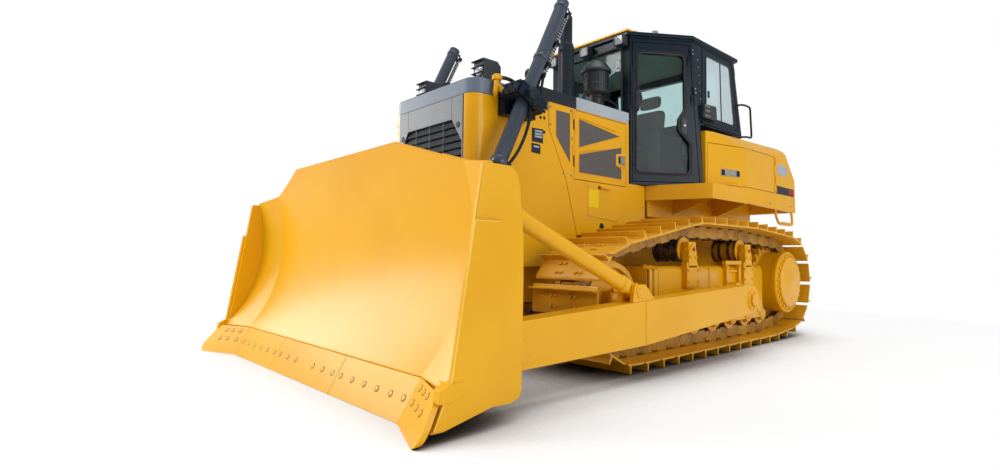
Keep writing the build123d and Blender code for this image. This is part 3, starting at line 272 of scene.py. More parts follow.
yellow = paint("yellow_paint", (0.80, 0.400, 0.002), (0.76, 0.368, 0.001), (0.72, 0.50, 0.12),
    0.40, 0.42)
slate = paint("slate_paint", (0.050, 0.064, 0.090), (0.040, 0.052, 0.076), (0.20, 0.21, 0.23),
    0.30, 0.55)
# the slate made paler for the radiator guard's cap, whose top faces up: painted light standing in
# for the light the cap catches
painted_lit_slate = paint("painted_lit_slate_paint", (0.150, 0.185, 0.245), (0.125, 0.158, 0.215),
    (0.35, 0.34, 0.32), 0.38, 0.3)
black = paint("cab_paint", (0.005, 0.014, 0.026), (0.003, 0.010, 0.020), (0.06, 0.07, 0.09), 0.28,
    0.14, 0.02)
red_paint = paint("red_mark", (0.48, 0.020, 0.008), (0.42, 0.016, 0.007), (0.4, 0.1, 0.08))
lemon = paint("blank_label_yellow", (0.86, 0.60, 0.01), (0.83, 0.56, 0.01), (0.7, 0.6, 0.3))
# a paler yellow for the painted highlights along the blade's plate edges
painted_edge_highlight = paint("painted_edge_highlight", (0.88, 0.62, 0.12), (0.84, 0.56, 0.08), (0.7, 0.6, 0.3))
grey_stripe = paint("grey_stripe", (0.40, 0.46, 0.50), (0.36, 0.39, 0.46), (0.45, 0.45, 0.45),
    0.40, 0.2)
dark_stripe = paint("dark_stripe", (0.020, 0.027, 0.036), (0.016, 0.022, 0.030),
    (0.30, 0.30, 0.30), 0.40, 0.2)
pipe_black = paint("pipe_black", (0.012, 0.019, 0.027), (0.017, 0.024, 0.032), (0.18, 0.17, 0.16),
    0.45, 0.1)
print("paints ready")

# %% [markdown]
# ## Other finishes
#
# Glass, rubber, chrome, cast iron, cloth and mesh.  The woven mesh of the engine's side
# panels is far too fine to model: a pattern of small holes in the colour and the bump stands
# for it.

# %% Track and metal finishes
tracks = Finish("track_paint", Coat_Roughness=0.25)
rub = tracks.between(tracks.noise(26.0, 5.0, 0.65), 0.60, 0.68)
stain = tracks.between(tracks.noise(3.4, 5.0, 0.6), 0.40, 0.75)
coloured = tracks.mix(stain * 0.6, (0.76, 0.375, 0.003), (0.46, 0.215, 0.006))
tracks.set("Base Color", tracks.mix(rub * 0.12, coloured, (0.40, 0.30, 0.16)))
tracks.set("Roughness", tracks.noise(9.0, 4.0) * 0.25 + 0.32)
tracks.set("Coat Weight", (1 - stain) * 0.25)
tracks.set("Normal", tracks.bump(tracks.noise(130.0, 3.0), 0.12, 0.0015))

links = Finish("link_steel", Coat_Roughness=0.3)
soot = links.between(links.noise(5.0, 4.0, 0.6), 0.30, 0.75)
links.set("Base Color", links.mix(soot, (0.50, 0.245, 0.006), (0.24, 0.120, 0.010)))
links.set("Roughness", soot * 0.2 + 0.38)
links.set("Normal", links.bump(links.noise(110.0, 3.0), 0.15, 0.0015))

tread = Finish("worn_tread", Metallic=0.85)
streaks = tread.noise(18.0, 5.0, 0.6)
tread.set("Base Color", tread.mix(tread.between(streaks, 0.35, 0.7), (0.060, 0.050, 0.042),
    (0.22, 0.20, 0.18)))
tread.set("Roughness", streaks * 0.35 + 0.28)
tread.set("Normal", tread.bump(tread.noise(90.0, 3.0), 0.15, 0.001))

chrome = Finish("chrome_rod", Metallic=1.0)
wipe = chrome.noise(40.0, 2.0, 0.5, (1, 1, 0.05))
chrome.set("Base Color", chrome.mix(wipe, (0.72, 0.73, 0.75), (0.62, 0.63, 0.66)))
chrome.set("Roughness", wipe * 0.10 + 0.06)

bolt = Finish("zinc_bolt", Metallic=0.9)
age = bolt.noise(60.0, 3.0)
bolt.set("Base Color", bolt.mix(bolt.between(age, 0.3, 0.7), (0.50, 0.48, 0.42),
    (0.36, 0.33, 0.28)))
bolt.set("Roughness", age * 0.25 + 0.25)

iron = Finish("engine_iron", Metallic=0.1)
cast = iron.noise(70.0, 4.0)
iron.set("Base Color", iron.mix(cast, (0.030, 0.031, 0.034), (0.055, 0.053, 0.050)))
iron.set("Roughness", cast * 0.2 + 0.5)
iron.set("Normal", iron.bump(cast, 0.2, 0.002))
print("metals ready")

# %% Rubber, plastic, cloth, glass
rubber = Finish("black_rubber")
skin = rubber.noise(220.0, 2.0)
rubber.set("Base Color", rubber.mix(rubber.noise(9.0, 3.0), (0.010, 0.010, 0.011),
    (0.024, 0.024, 0.026)))
rubber.set("Roughness", skin * 0.15 + 0.50)
rubber.set("Normal", rubber.bump(skin, 0.10, 0.0006))

plastic = Finish("black_plastic")
grain = plastic.node("ShaderNodeTexVoronoi", None, {"Vector": plastic.place(), "Scale": 520.0})
plastic.set("Base Color", plastic.mix(plastic.noise(6.0), (0.014, 0.020, 0.028),
    (0.022, 0.029, 0.039)))
plastic.set("Roughness", plastic.noise(30.0) * 0.15 + 0.40)
plastic.set("Normal", plastic.bump(grain, 0.12, 0.0006))

cloth = Finish("seat_cloth", Specular_IOR_Level=0.2)
warp = cloth.node("ShaderNodeTexWave", {"bands_direction": "Y"},
    {"Vector": cloth.place(), "Scale": 160.0}, 1)
weft = cloth.node("ShaderNodeTexWave", {"bands_direction": "Z"},
    {"Vector": cloth.place(), "Scale": 160.0}, 1)
cloth.set("Base Color", cloth.mix(warp * weft, (0.006, 0.010, 0.014), (0.018, 0.025, 0.033)))
cloth.set("Roughness", warp * 0.1 + 0.78)
cloth.set("Normal", cloth.bump(warp + weft, 0.25, 0.0008))

grey_cloth = Finish("headliner_cloth")
nap = grey_cloth.noise(300.0, 2.0)
grey_cloth.set("Base Color", grey_cloth.mix(nap, (0.40, 0.52, 0.50), (0.48, 0.60, 0.58)))
grey_cloth.set("Roughness", nap * 0.1 + 0.8)
grey_cloth.set("Normal", grey_cloth.bump(nap, 0.2, 0.001))

glass = Finish("cab_glass", Transmission_Weight=1.0, IOR=1.2)
film = glass.between(glass.noise(3.0, 4.0, 0.6), 0.45, 0.8)
glass.set("Base Color", glass.mix(film, (0.60, 0.74, 0.74), (0.54, 0.68, 0.68)))
glass.set("Roughness", film * 0.03 + 0.01)

# glass made half opaque and pale blue-white: painted sky, standing in for the brightness seen
# through and reflected in the panes
sky_glass = Finish("sky_lit_glass", Transmission_Weight=0.45, IOR=1.5, Specular_IOR_Level=0.6)
painted_sky_patches = sky_glass.noise(2.0, 3.0)
sky_glass.set("Base Color", sky_glass.mix(painted_sky_patches, (0.72, 0.88, 0.92), (0.80, 0.92, 0.95)))
sky_glass.set("Roughness", painted_sky_patches * 0.05 + 0.02)

lens = Finish("lamp_lens", Transmission_Weight=0.2, IOR=1.45, Coat_Weight=0.6)
ribs = lens.node("ShaderNodeTexWave", {"bands_direction": "Y"},
    {"Vector": lens.place(), "Scale": 42.0}, 1)
lens.set("Base Color", lens.mix(ribs, (0.20, 0.22, 0.24), (0.42, 0.46, 0.50)))
lens.set("Roughness", ribs * 0.1 + 0.08)
lens.set("Normal", lens.bump(ribs, 0.4, 0.002))

mesh_panel = Finish("wire_mesh", Metallic=0.3)
slant = mesh_panel.node("ShaderNodeMapping", None, {"Vector": mesh_panel.place(),
    "Rotation": (0, radians(45), 0)})
run_a = mesh_panel.node("ShaderNodeTexWave", {"bands_direction": "X"},
    {"Vector": slant, "Scale": 22.0}, 1)
run_b = mesh_panel.node("ShaderNodeTexWave", {"bands_direction": "Z"},
    {"Vector": slant, "Scale": 22.0}, 1)
wires = mesh_panel.between(run_a * 0.5 + run_b * 0.5, 0.45, 0.75)
mesh_panel.set("Base Color", mesh_panel.mix(wires, (0.050, 0.046, 0.043), (0.230, 0.212, 0.200)))
mesh_panel.set("Roughness", wires * -0.15 + 0.6)
mesh_panel.set("Normal", mesh_panel.bump(wires, 0.5, 0.002))

floor_finish = Finish("studio_floor", Roughness=0.9, Specular_IOR_Level=0.0)
open_sky = floor_finish.node("ShaderNodeAmbientOcclusion", {"samples": 8}, {"Distance": 1.2}, "AO")
even = floor_finish.mix(floor_finish.noise(0.6, 2.0), (0.98, 0.98, 0.98), (0.96, 0.96, 0.96))
# painted shadow: the floor's colour darkens to near black where ambient occlusion finds the
# machine hiding the sky
floor_finish.set("Base Color", floor_finish.mix(floor_finish.between(open_sky, 0.05, 0.95),
    (0.02, 0.02, 0.02), even))
away = floor_finish.node("ShaderNodeVectorMath", {"operation": "LENGTH"},
    {0: floor_finish.place()}, 1)
kinds = ("Is Camera Ray", "Is Glossy Ray", "Is Transmission Ray")
rays = [floor_finish.node("ShaderNodeLightPath", output=kind) for kind in kinds]
seen_directly = rays[0].maths("MAXIMUM", rays[0].maths("MAXIMUM", rays[0], rays[1]), rays[2])
white = floor_finish.node("ShaderNodeEmission", None, {"Color": (1, 1, 1, 1), "Strength": 1.0})
# the white glow seen by the camera fades where the machine hides the sky, so the shadow there is
# painted as well
lit = floor_finish.between(open_sky, 0.40, 0.96) * 0.84
far = floor_finish.between(away, 4.0, 6.5)
floor_finish.blend_into(white, far.maths("MAXIMUM", far, lit) * seen_directly)
print("all finishes ready")

# %% [markdown]
# ## Which node wears which finish
#
# The finish of each CAD node, and the record's slot that a piece standing for it belongs to.

# %% Finishes by node
slot_of = {entry["node"]: entry["material_slot"] for entry in frame["record"]["subparts"]}
finish_of_slot = {"yellow_paint": yellow, "slate_paint": slate, "dark_paint": black,
    "track_paint": tracks, "engine_iron": iron, "bright_rod": chrome, "dark_pipe": pipe_black,
    "window_glass": glass, "seat_cover": cloth, "dark_plastic": plastic, "lamp_body": plastic}
for node, item in frame["nodes"].items():
    item.data.materials.clear()
    item.data.materials.append(finish_of_slot[slot_of[node]].material)
# the cap wears the paler slate, a painted-light copy of the guard's paint
frame["nodes"]["guard_cap"].data.materials[0] = painted_lit_slate.material
print("finishes on", len(frame["nodes"]), "nodes")

# %% [markdown]
# ## Rounded edges
#
# A real sheet edge is never razor sharp: it catches a thin line of light.  Each folded or
# welded node is copied, its flat triangles are joined into whole faces, and a bevel of a few
# millimetres runs along its hard edges.  The copy stands for the node, which stays hidden.

# %% Bevelled copies
def as_piece(name, bm, material, body, round_by=0.0, hard=34, steps=2):
    """Turn built faces into a piece on its body, its hard edges rounded by so many millimetres."""
    mesh = bpy.data.meshes.new(name)
    bm.to_mesh(mesh)
    bm.free()
    mesh.materials.append(material)
    mesh.shade_smooth()
    mesh.set_sharp_from_angle(angle=radians(hard))
    piece = bpy.data.objects.new(name, mesh)
    scene.collection.objects.link(piece)
    if round_by:
        bevel = piece.modifiers.new("round", "BEVEL")
        bevel.width = round_by / 1000
        bevel.segments = steps
        bevel.limit_method = "ANGLE"
        bevel.angle_limit = radians(hard)
        bevel.harden_normals = True
    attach(piece, body)
    return piece


def round_edges(node, width, hard=32):
    """A copy of a CAD node with rounded edges, which stands for the node."""
    data = frame["nodes"][node].data
    bm = bmesh.new()
    bm.from_mesh(data)
    bmesh.ops.remove_doubles(bm, verts=bm.verts, dist=0.00002)
    bmesh.ops.dissolve_limit(bm, angle_limit=radians(0.6), verts=bm.verts, edges=bm.edges,
        use_dissolve_boundaries=False)
    piece = as_piece(node + "_body", bm, data.materials[0], body_of[node], width,
        hard)
    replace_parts(piece, node)


# nodes whose name ends with "_" come as a left and a right one
edge_widths = {"radiator_guard": 6, "guard_cap": 8, "hood": 6, "hood_side_": 3, "engine_door_": 3,
    "fender_": 5, "rear_tank": 10, "tank_door_": 4, "blade": 4, "cutting_edge": 4, "end_bits": 4,
    "push_arm_": 9, "blade_braces": 4, "track_frame_": 6, "cab_shell": 10, "cab_door_": 6,
    "cab_roof": 12, "roof_cap": 5, "main_frame": 8, "drawbar": 5, "cylinder_yokes": 7,
    "lift_cylinder_": 3, "final_drive_": 8, "bottom_guard": 4, "console": 8, "head_lamps": 6,
    "work_lamps": 6, "engine_block": 8}
for stem, width in edge_widths.items():
    for node in (stem + "left", stem + "right") if stem.endswith("_") else (stem,):
        round_edges(node, width, 50 if stem == "track_frame_" else 32)

# %% [markdown]
# ## Building small pieces
#
# Bolts, hoses, bars and plates are built in mesh code.  Each group of like things, such as
# all of the bolts of one cover, goes into one mesh, so the machine stays easy to handle.
# Sizes here are in millimetres, as on a drawing, and `ahead` counts from the sprocket's axle.

# %% Places in millimetres
axle = (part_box("sprocket_left")[0][0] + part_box("sprocket_left")[1][0]) / 2


def ahead(distance, side, height):
    """A point so many millimetres in front of the sprocket axle, to the left, and up."""
    return Vector((axle + distance / 1000, side / 1000, height / 1000))


print("sprocket axle at x", round(axle, 4))


# %% Mesh helpers
side_word = {1: "_left", -1: "_right", 0: ""}
usual_slot = {slate: "slate_paint", black: "dark_paint", plastic: "dark_plastic",
    rubber: "dark_plastic", lens: "lamp_body", tracks: "track_paint", links: "track_paint",
    tread: "track_paint", chrome: "bright_rod", sky_glass: "window_glass", cloth: "seat_cover",
    grey_cloth: "dark_paint"}


class Part:
    """Collects faces for one piece, then becomes an object that rides on a body.

    A place is a vector in metres, or (ahead, outward, height) in millimetres.  A part of the
    left side (1) or the right side (-1) gets that side's word at the end of its name.
    """

    def __init__(self, name, finish, side=0, body="machine", slot=None):
        self.name, self.finish, self.side = name + side_word[side], finish, side or 1
        self.body = body if body in ("machine", "blade") else body + side_word[side]
        self.slot = slot or usual_slot.get(finish, "yellow_paint")
        self.bm = bmesh.new()

    def spot(self, place):
        x, y, z = place
        return ahead(x, self.side * y, z) if isinstance(place, tuple) else place

    def prism(self, outline, reach):
        """A flat outline pushed along a vector in metres."""
        outline = [self.spot(p) for p in outline]
        base = [self.bm.verts.new(p) for p in outline]
        top = [self.bm.verts.new(p + reach) for p in outline]
        self.bm.faces.new(base[::-1])
        self.bm.faces.new(top)
        count = len(base)
        for i in range(count):
            j = (i + 1) % count
            self.bm.faces.new((base[i], base[j], top[j], top[i]))
        return self

    def slab(self, near, far, outline):
        """A plate on edge: (ahead, height) points, between two distances outward."""
        low, high = sorted((self.side * near, self.side * far))
        self.prism([ahead(x, low, z) for x, z in outline], Vector((0, (high - low) / 1000, 0)))
        return self

    def plate(self, outline, near, far, skin):
        """A plate on a skin: (ahead, height) points, between two distances off it."""
        self.prism([ahead(x, self.side * (skin + near), z) for x, z in outline],
            Vector((0, self.side * (far - near) / 1000, 0)))
        return self

    def box(self, low, high):
        """A box between two corners in millimetres, given as (ahead, outward, height)."""
        (x0, y0, z0), (x1, y1, z1) = low, high
        y0, y1 = sorted((self.side * y0, self.side * y1))
        self.prism([ahead(x0, y0, z0), ahead(x1, y0, z0), ahead(x1, y1, z0), ahead(x0, y1, z0)],
            Vector((0, 0, (z1 - z0) / 1000)))
        return self

    def rings(self, circles, sides=24, closed=True):
        """Skin over circles, each (centre, axis, radius), in metres."""
        rows = []
        for centre, axis, radius in circles:
            across = axis.orthogonal().normalized()
            if rows:
                across = (self.last - axis * self.last.dot(axis)).normalized()
            self.last = across
            up = axis.cross(across)
            turns = [2 * pi * i / sides for i in range(sides)]
            rows.append([self.bm.verts.new(centre + (across * cos(t) + up * sin(t)) * max(radius,
                0.00005)) for t in turns])
        for a, b in zip(rows, rows[1:]):
            for i in range(sides):
                j = (i + 1) % sides
                self.bm.faces.new((a[i], a[j], b[j], b[i]))
        if closed:
            self.bm.faces.new(rows[0][::-1])
            self.bm.faces.new(rows[-1])

    def turned(self, centre, axis, steps, sides=24, closed=True):
        """A turned shape: steps are (distance along the axis, radius), in millimetres."""
        centre, axis = self.spot(centre), Vector(axis).normalized()
        self.rings([(centre + axis * (d / 1000), axis, r / 1000) for d, r in steps], sides, closed)
        return self

    def bolt(self, seat, axis, size=11, height=8, washer=True):
        """A hexagon head on a washer, standing on a seat."""
        if washer:
            self.turned(seat, axis, ((-1, size * 1.35), (1.6, size * 1.35)), 14)
        self.turned(seat, axis, ((0, size), (height * 0.8, size), (height, size * 0.82)), 6)

    def bolts(self, places, skin, size, height):
        """Bolts that face sideways, at (ahead, height) places on a skin."""
        for x, z in places:
            self.bolt((x, skin, z), (0, self.side, 0), size, height)
        return self

    def dome(self, seat, axis, size=9, height=6, sides=12):
        """A round-headed screw or rivet."""
        self.turned(seat, axis, ((-1, size), (height * 0.35, size), (height * 0.8, size * 0.7),
            (height, size * 0.2)), sides)

    def hose(self, points, radius, sides=12, steps=8):
        """A round hose or bent bar through points in metres, rounded at its corners."""
        path = smooth_path([self.spot(p) for p in points], steps)
        ways = [(path[min(i + 1, len(path) - 1)] - path[max(i - 1, 0)]).normalized()
            for i in range(len(path))]
        self.rings([(p, w, radius / 1000) for p, w in zip(path, ways)], sides)
        return self

    def bolt_ring(self, seat, way, count, radius, lift, size, height, start=0.0):
        """Bolts in a circle round a seat that faces sideways; radius and lift are in metres."""
        for i in range(count):
            angle = 2 * pi * i / count + start
            self.bolt(seat + Vector((cos(angle) * radius, 0, sin(angle) * radius)) + way * lift,
                way, size, height)

    def make(self, round_by=0.0, hard=34, steps=2):
        bmesh.ops.recalc_face_normals(self.bm, faces=self.bm.faces)
        return as_piece(self.name, self.bm, self.finish.material, self.body, round_by,
            hard, steps)


def smooth_path(points, steps):
    """Points along a quadratic B-spline that starts and ends at the first and last points."""
    points = [Vector(p) for p in points]
    if len(points) < 3:
        return points
    path = [points[0]]
    for i in range(1, len(points) - 1):
        start = points[0] if i == 1 else (points[i - 1] + points[i]) / 2
        end = points[-1] if i == len(points) - 2 else (points[i] + points[i + 1]) / 2
        for k in range(1, steps + 1):
            t = k / steps
            path.append(start * (1 - t) ** 2 + points[i] * (2 * t * (1 - t)) + end * t ** 2)
    return path


print("mesh helpers ready")

# %% [markdown]
# ## The tracks
#
# A crawler's track is a chain of forged links joined by pins, with a pressed shoe bolted to
# each pair.  Each shoe carries one tall bar, the grouser.  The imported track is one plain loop,
# so the pins' places are worked out again here in the same way: a belt is laid round the
# wheels and divided into equal links.

# %% The line of pins
pin_height = 132                 # pin line over the grousers' tips
drive_z, idler_z, carrier_z = 594, 505, 918      # heights of the wheels' axles
wheelbase, carrier_places = 2974, (885, 1964)
belt = ((0, drive_z, 419), *((x, carrier_z, 159) for x in carrier_places),
    (wheelbase, idler_z, 373), (470, pin_height + 157, 157))


def tangent(a, b):
    """The straight run of the belt from one wheel to the next, both (x, z, r)."""
    dx, dz = b[0] - a[0], b[1] - a[1]
    turn = atan2(dz, dx) + pi / 2 + asin((b[2] - a[2]) / hypot(dx, dz))
    n = (cos(turn), sin(turn))
    return (a[0] + n[0] * a[2], a[1] + n[1] * a[2]), (b[0] + n[0] * b[2], b[1] + n[1] * b[2]), turn


def pin_line(wheels, pitch=216):
    """Pins at equal steps along the belt."""
    runs = [tangent(wheels[i], wheels[(i + 1) % len(wheels)]) for i in range(len(wheels))]
    pieces = []
    for i, (start, end, turn) in enumerate(runs):
        wheel = wheels[(i + 1) % len(wheels)]
        swing = (turn - runs[(i + 1) % len(wheels)][2]) % (2 * pi)
        pieces.append((hypot(end[0] - start[0], end[1] - start[1]), start, end, None))
        pieces.append((wheel[2] * swing, wheel, turn, swing))
    total = sum(piece[0] for piece in pieces)
    count = round(total / pitch)
    line = []
    for i in range(count):
        left = total * i / count
        for length, first, second, swing in pieces:
            if left < length:
                break
            left -= length
        if swing is None:
            t = left / length
            line.append((first[0] + (second[0] - first[0]) * t,
                first[1] + (second[1] - first[1]) * t))
        else:
            angle = second - left / first[2]
            line.append((first[0] + first[2] * cos(angle), first[1] + first[2] * sin(angle)))
    return line


pins = pin_line(belt)
print(len(pins), "links in each track")

# %% [markdown]
# Each link is drawn once, as outlines along the track and outward from the pins, and copied
# to every pair of pins.  The link's two ends sit side by side on a pin, as on the real chain,
# so one end is nearer the middle than the other.

# %% One track's shoes and chain
gauge_half, shoe_half, rail = 1064, 305, 88


def link_frame(i, side):
    """The start of link i and its directions along the track and outward, in metres."""
    a, b = pins[i], pins[(i + 1) % len(pins)]
    start = ahead(a[0], side * gauge_half, a[1])
    along = ahead(b[0], side * gauge_half, b[1]) - start
    length = along.length
    along.normalize()
    return start, along, Vector((-along.z, 0, along.x)), length


def lobe(centre, radius, first, last, count):
    """Points round a link's end, from one angle to another in degrees."""
    return [(centre + radius * cos(radians(first + (last - first) * k / count)),
        radius * sin(radians(first + (last - first) * k / count))) for k in range(count + 1)]


def build_track(side):
    shoes = Part("track_shoes", tracks, side)
    chain = Part("track_chain", links, side)
    treads = Part("track_link_treads", tread, side)
    bolts = Part("track_shoe_bolts", tracks, side)
    y = Vector((0, 1, 0))
    for i in range(len(pins)):
        start, along, out, length = link_frame(i, side)
        pitch = length * 1000

        def at(t, n, across):
            return start + along * (t / 1000) + out * (n / 1000) + y * (across / 1000)

        profile = ((0.020, 58), (0.020, 68), (0.055, 73), (0.105, 75), (0.135, 82), (0.152, 129),
            (0.163, 132), (0.198, 132), (0.209, 129), (0.222, 82), (0.250, 75), (0.905, 73),
            (0.985, 66), (1.010, 60), (1.000, 56), (0.900, 58))
        shoes.prism([at(t * pitch, n, -shoe_half) for t, n in profile], y * (2 * shoe_half / 1000))
        for hand in (-1, 1):
            near = hand * rail
            body = [(0.16, 50), (0.16, -40), (0.22, -53), (0.78, -53), (0.84, -40), (0.84, 50),
                (0.72, 57), (0.28, 57)]
            chain.prism([at(t * pitch, n, near - 20) for t, n in body], y * 0.040)
            rear_end = lobe(0, 47, 60, 300, 10) + [(60, -52), (70, 20)]
            chain.prism([at(t, n, near + (1 if hand > 0 else -23)) for t, n in rear_end],
                y * 0.022)
            front_end = lobe(pitch, 47, 120, -120, 10) + [(pitch - 60, -52), (pitch - 70, 20)]
            chain.prism([at(t, n, near - (23 if hand > 0 else -1)) for t, n in front_end],
                y * 0.022)
            treads.prism([at(t * pitch, n, near - 19) for t,
                n in ((0.17, -53), (0.83, -53), (0.80, -57), (0.20, -57))], y * 0.038)
            for t in (0.38, 0.74):
                for shift in (-18, 24):
                    seat = at(t * pitch, 74, near + hand * shift)
                    bolts.turned(seat, out, ((-1, 17), (12, 17), (15, 13)), 6)
        chain.turned(at(0, 0, -112), y, ((0, 19), (2, 22), (222, 22), (224, 19)), 14)
        chain.turned(at(0, 0, -66), y, ((0, 33), (132, 33)), 18)
    made = [shoes.make(2.5, 30), chain.make(2.0, 40, 1), treads.make(), bolts.make()]
    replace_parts(made[0], "track" + side_word[side])
    return made


for side in (1, -1):
    print("track", [piece.name for piece in build_track(side)])

# %% [markdown]
# ## The blade
#
# The moldboard is a rolled sheet: its face follows one arc from the cutting edge to the top,
# and each wing turns forward at a crease.  A smooth skin is laid over the CAD face so the
# light runs along it without a break.  The cutting edge and the end bits hang on plow bolts,
# whose round heads lie flush in the steel.

# %% The moldboard's skin
tip, crease, turn = 5054, 1290, radians(17)
edge_foot, edge_head, board_crown, bow = (tip - 153, 0), (tip - 279, 217), (tip - 437, 1541), 1150
rise = Vector((board_crown[0] - edge_head[0], board_crown[1] - edge_head[1]))
span = rise.length / 2
drop = sqrt(bow ** 2 - span ** 2)
bow_x = (edge_head[0] + board_crown[0]) / 2 + rise.y / rise.length * drop
bow_z = (edge_head[1] + board_crown[1]) / 2 - rise.x / rise.length * drop
skin_foot, knee, blade_half = 222, 1352, 1635      # the skin's foot, its crease and its end
top_knees = ((0, 1541), (762, 1541), (1345, 1365), (1726, 1302))


def top_of(side):
    """The height of the blade's top edge at a distance from the middle."""
    for (y0, z0), (y1, z1) in zip(top_knees, top_knees[1:]):
        if side <= y1:
            return z0 + (z1 - z0) * (side - y0) / (y1 - y0)


def wing_point(reach, side, height, angle, lift=0):
    """A place on a wing: reach is where its section lies ahead of the axle, lift stands off it."""
    x = edge_foot[0] + (side - crease) * tan(angle) + (reach - edge_foot[0]) / cos(angle)
    return ahead(x + lift, side, height)


def board_points(lift):
    """Columns of points over the moldboard's left half, from the middle to the end."""
    columns = []
    shares = [0, 0.14, 0.28, 0.42, 0.5636, 0.7, 0.85, 0.9948, 1.0]
    shares += [1 + k / 5 for k in range(1, 6)]
    for share in shares:
        rough = share * knee if share <= 1 else knee + (share - 1) * 284
        column = []
        for j in range(25):
            height = skin_foot + (top_of(rough) - 3 - skin_foot) * j / 24
            reach = bow_x - sqrt(bow ** 2 - (height - bow_z) ** 2)
            bend = crease + (edge_foot[0] - reach) * tan(turn / 2)
            if share <= 1:
                column.append(ahead(reach + lift, share * bend, height))
            else:
                side = bend + (share - 1) * (blade_half - bend)
                column.append(wing_point(reach, side, height, turn, lift))
        columns.append(column)
    mirrored = [[Vector((p.x, -p.y, p.z)) for p in column] for column in columns[:0:-1]]
    return mirrored + columns


def two_faced(part, front, back):
    """A closed sheet between two grids of points."""
    grids = [[[part.bm.verts.new(p) for p in column] for column in grid] for grid in (front, back)]
    across_count, up_count = len(front), len(front[0])
    for grid, way in zip(grids, (1, -1)):
        for i in range(across_count - 1):
            for j in range(up_count - 1):
                corners = (grid[i][j], grid[i + 1][j], grid[i + 1][j + 1], grid[i][j + 1])
                part.bm.faces.new(corners[::way])
    rim = [(i, 0) for i in range(across_count)] + [(across_count - 1, j)
        for j in range(1, up_count)]
    rim += [(i, up_count - 1) for i in range(across_count - 2, -1, -1)]
    rim += [(0, j) for j in range(up_count - 2, 0, -1)]
    for (a, b), (c, d) in zip(rim, rim[1:] + rim[:1]):
        part.bm.faces.new((grids[0][a][b], grids[1][a][b], grids[1][c][d], grids[0][c][d]))


skin_part = Part("blade_face_skin", yellow, body="blade")
two_faced(skin_part, board_points(2.0), board_points(-4.0))
skin_part.make(0, 12)

# %% Plow bolts, welds and corner plates
slant = Vector((edge_head[0] - edge_foot[0], edge_head[1] - edge_foot[1])).normalized()
bit_turn = radians(23)
# dark rings round the plow bolt heads: painted shade of the recesses they sit in
shade_rings = Part("edge_bolt_shade_rings", pipe_black, body="blade")
heads = Part("edge_bolt_heads", yellow, body="blade")


def plow_bolt(side, height, on_bit):
    """A flush bolt head on the cutting edge or on an end bit, and the same one on the right."""
    reach = edge_foot[0] + height * slant.x / slant.y
    for mirror in (1, -1):
        out = Vector((slant.y, 0, -slant.x))
        seat = ahead(reach, side, height)
        if on_bit:
            seat = wing_point(reach, side, height, bit_turn)
            out = Vector((slant.y * cos(bit_turn), -slant.y * sin(bit_turn), -slant.x))
        seat.y, out.y = seat.y * mirror, out.y * mirror
        shade_rings.turned(seat, out, ((-2, 19), (0.5, 19)), 20)
        heads.turned(seat, out, ((-2, 15), (0.9, 15), (1.6, 12.5)), 20)


for side in (144, 287, 431, 546, 690, 833, 976, 1120, 1247):
    plow_bolt(side, 110, False)
for side, height in ((1370, 115), (1465, 115), (1553, 115), (1382, 182), (1462, 182), (1538, 182)):
    plow_bolt(side, height, True)
shade_rings.make()
heads.make()

welds = Part("blade_welds", yellow, body="blade")
for mirror in (1, -1):
    foot = [ahead(tip - 283, mirror * y, 221) for y in (2, 640, 1300)]
    welds.hose(foot, 5, 8, 2)
    foot = [wing_point(tip - 283, y, 221, turn) for y in (1300, 1470, 1632)]
    welds.hose([Vector((p.x, mirror * p.y, p.z)) for p in foot], 5, 8, 2)
    end = []
    for j in range(13):
        height = 232 + (1300 - 232) * j / 12
        reach = bow_x - sqrt(bow ** 2 - (height - bow_z) ** 2)
        place = wing_point(reach, 1633, height, turn, 4)
        end.append(Vector((place.x, mirror * place.y, place.z)))
    welds.hose(end, 6, 8, 2)
welds.make()

brackets = Part("blade_corner_plates", yellow, body="blade")
for mirror in (1, -1):
    outline = [(tip - 118, 176), (tip - 128, 236), (tip - 176, 262), (tip - 262, 262),
        (tip - 262, 205), (tip - 190, 176)]
    brackets.slab(mirror * 1634, mirror * 1692, outline)
    # the stiffening bar along the top edge, out to the corner
    bar = [(1110, 1437), (1345, 1367), (1480, 1344), (1480, 1318), (1345, 1341), (1110, 1411)]
    reach = bow_x - sqrt(bow ** 2 - (1380 - bow_z) ** 2)
    brackets.prism([ahead(reach - 30, mirror * y, z) for y, z in bar], Vector((-0.045, 0, 0)))
brackets.make(4, 30)

# pale lines along the plates' front edges: a painted highlight, standing in for the light that
# their rounded edges catch
rims = Part("side_plate_edge_highlights", painted_edge_highlight, body="blade")
wear_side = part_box("blade")[1][1] * 1000
for mirror in (1, -1):
    for inset, start, end in ((30, (389, 1300), (341, 1014)), (3, (484, 1012), (324, 1012)),
            (3, (323, 1010), (196, 270)), (3, (196, 270), (98, 62))):
        rims.hose([(tip - back, mirror * (wear_side - inset), z) for back, z in (start, end)], 3.5,
            8)
rims.make(0, 60)
print("blade skin, bolts and welds")

# %% [markdown]
# ## Radiator guard, louvre and hood top
#
# The slate cap runs down over a sloping louvre at the front.  Its dark slats stand behind a
# frame with slanted sides.  The yellow columns beside it are the guard's rounded corners.

# %% The louvre in front
front = 3838
Part("front_louvre_back", pipe_black).box((front - 40, -450, 1190), (front - 24, 450, 1905)).make()
slats = Part("front_louvre_slats", pipe_black)
for height in range(1215, 1880, 56):
    half = min(452, 302 + (1893 - height) * 0.69)
    outline = [ahead(front - 22, -half, height), ahead(front - 2, -half, height + 6),
        ahead(front - 14, -half, height + 44), ahead(front - 24, -half, height + 44)]
    slats.prism(outline, Vector((0, 2 * half / 1000, 0)))
slats.make(1.5, 30, 1)
dividers = Part("front_louvre_dividers", slate)
for side in (-190, 0, 190):
    dividers.box((front - 4, side - 2, 1200), (front - 1, side + 2, 1890))
dividers.make()

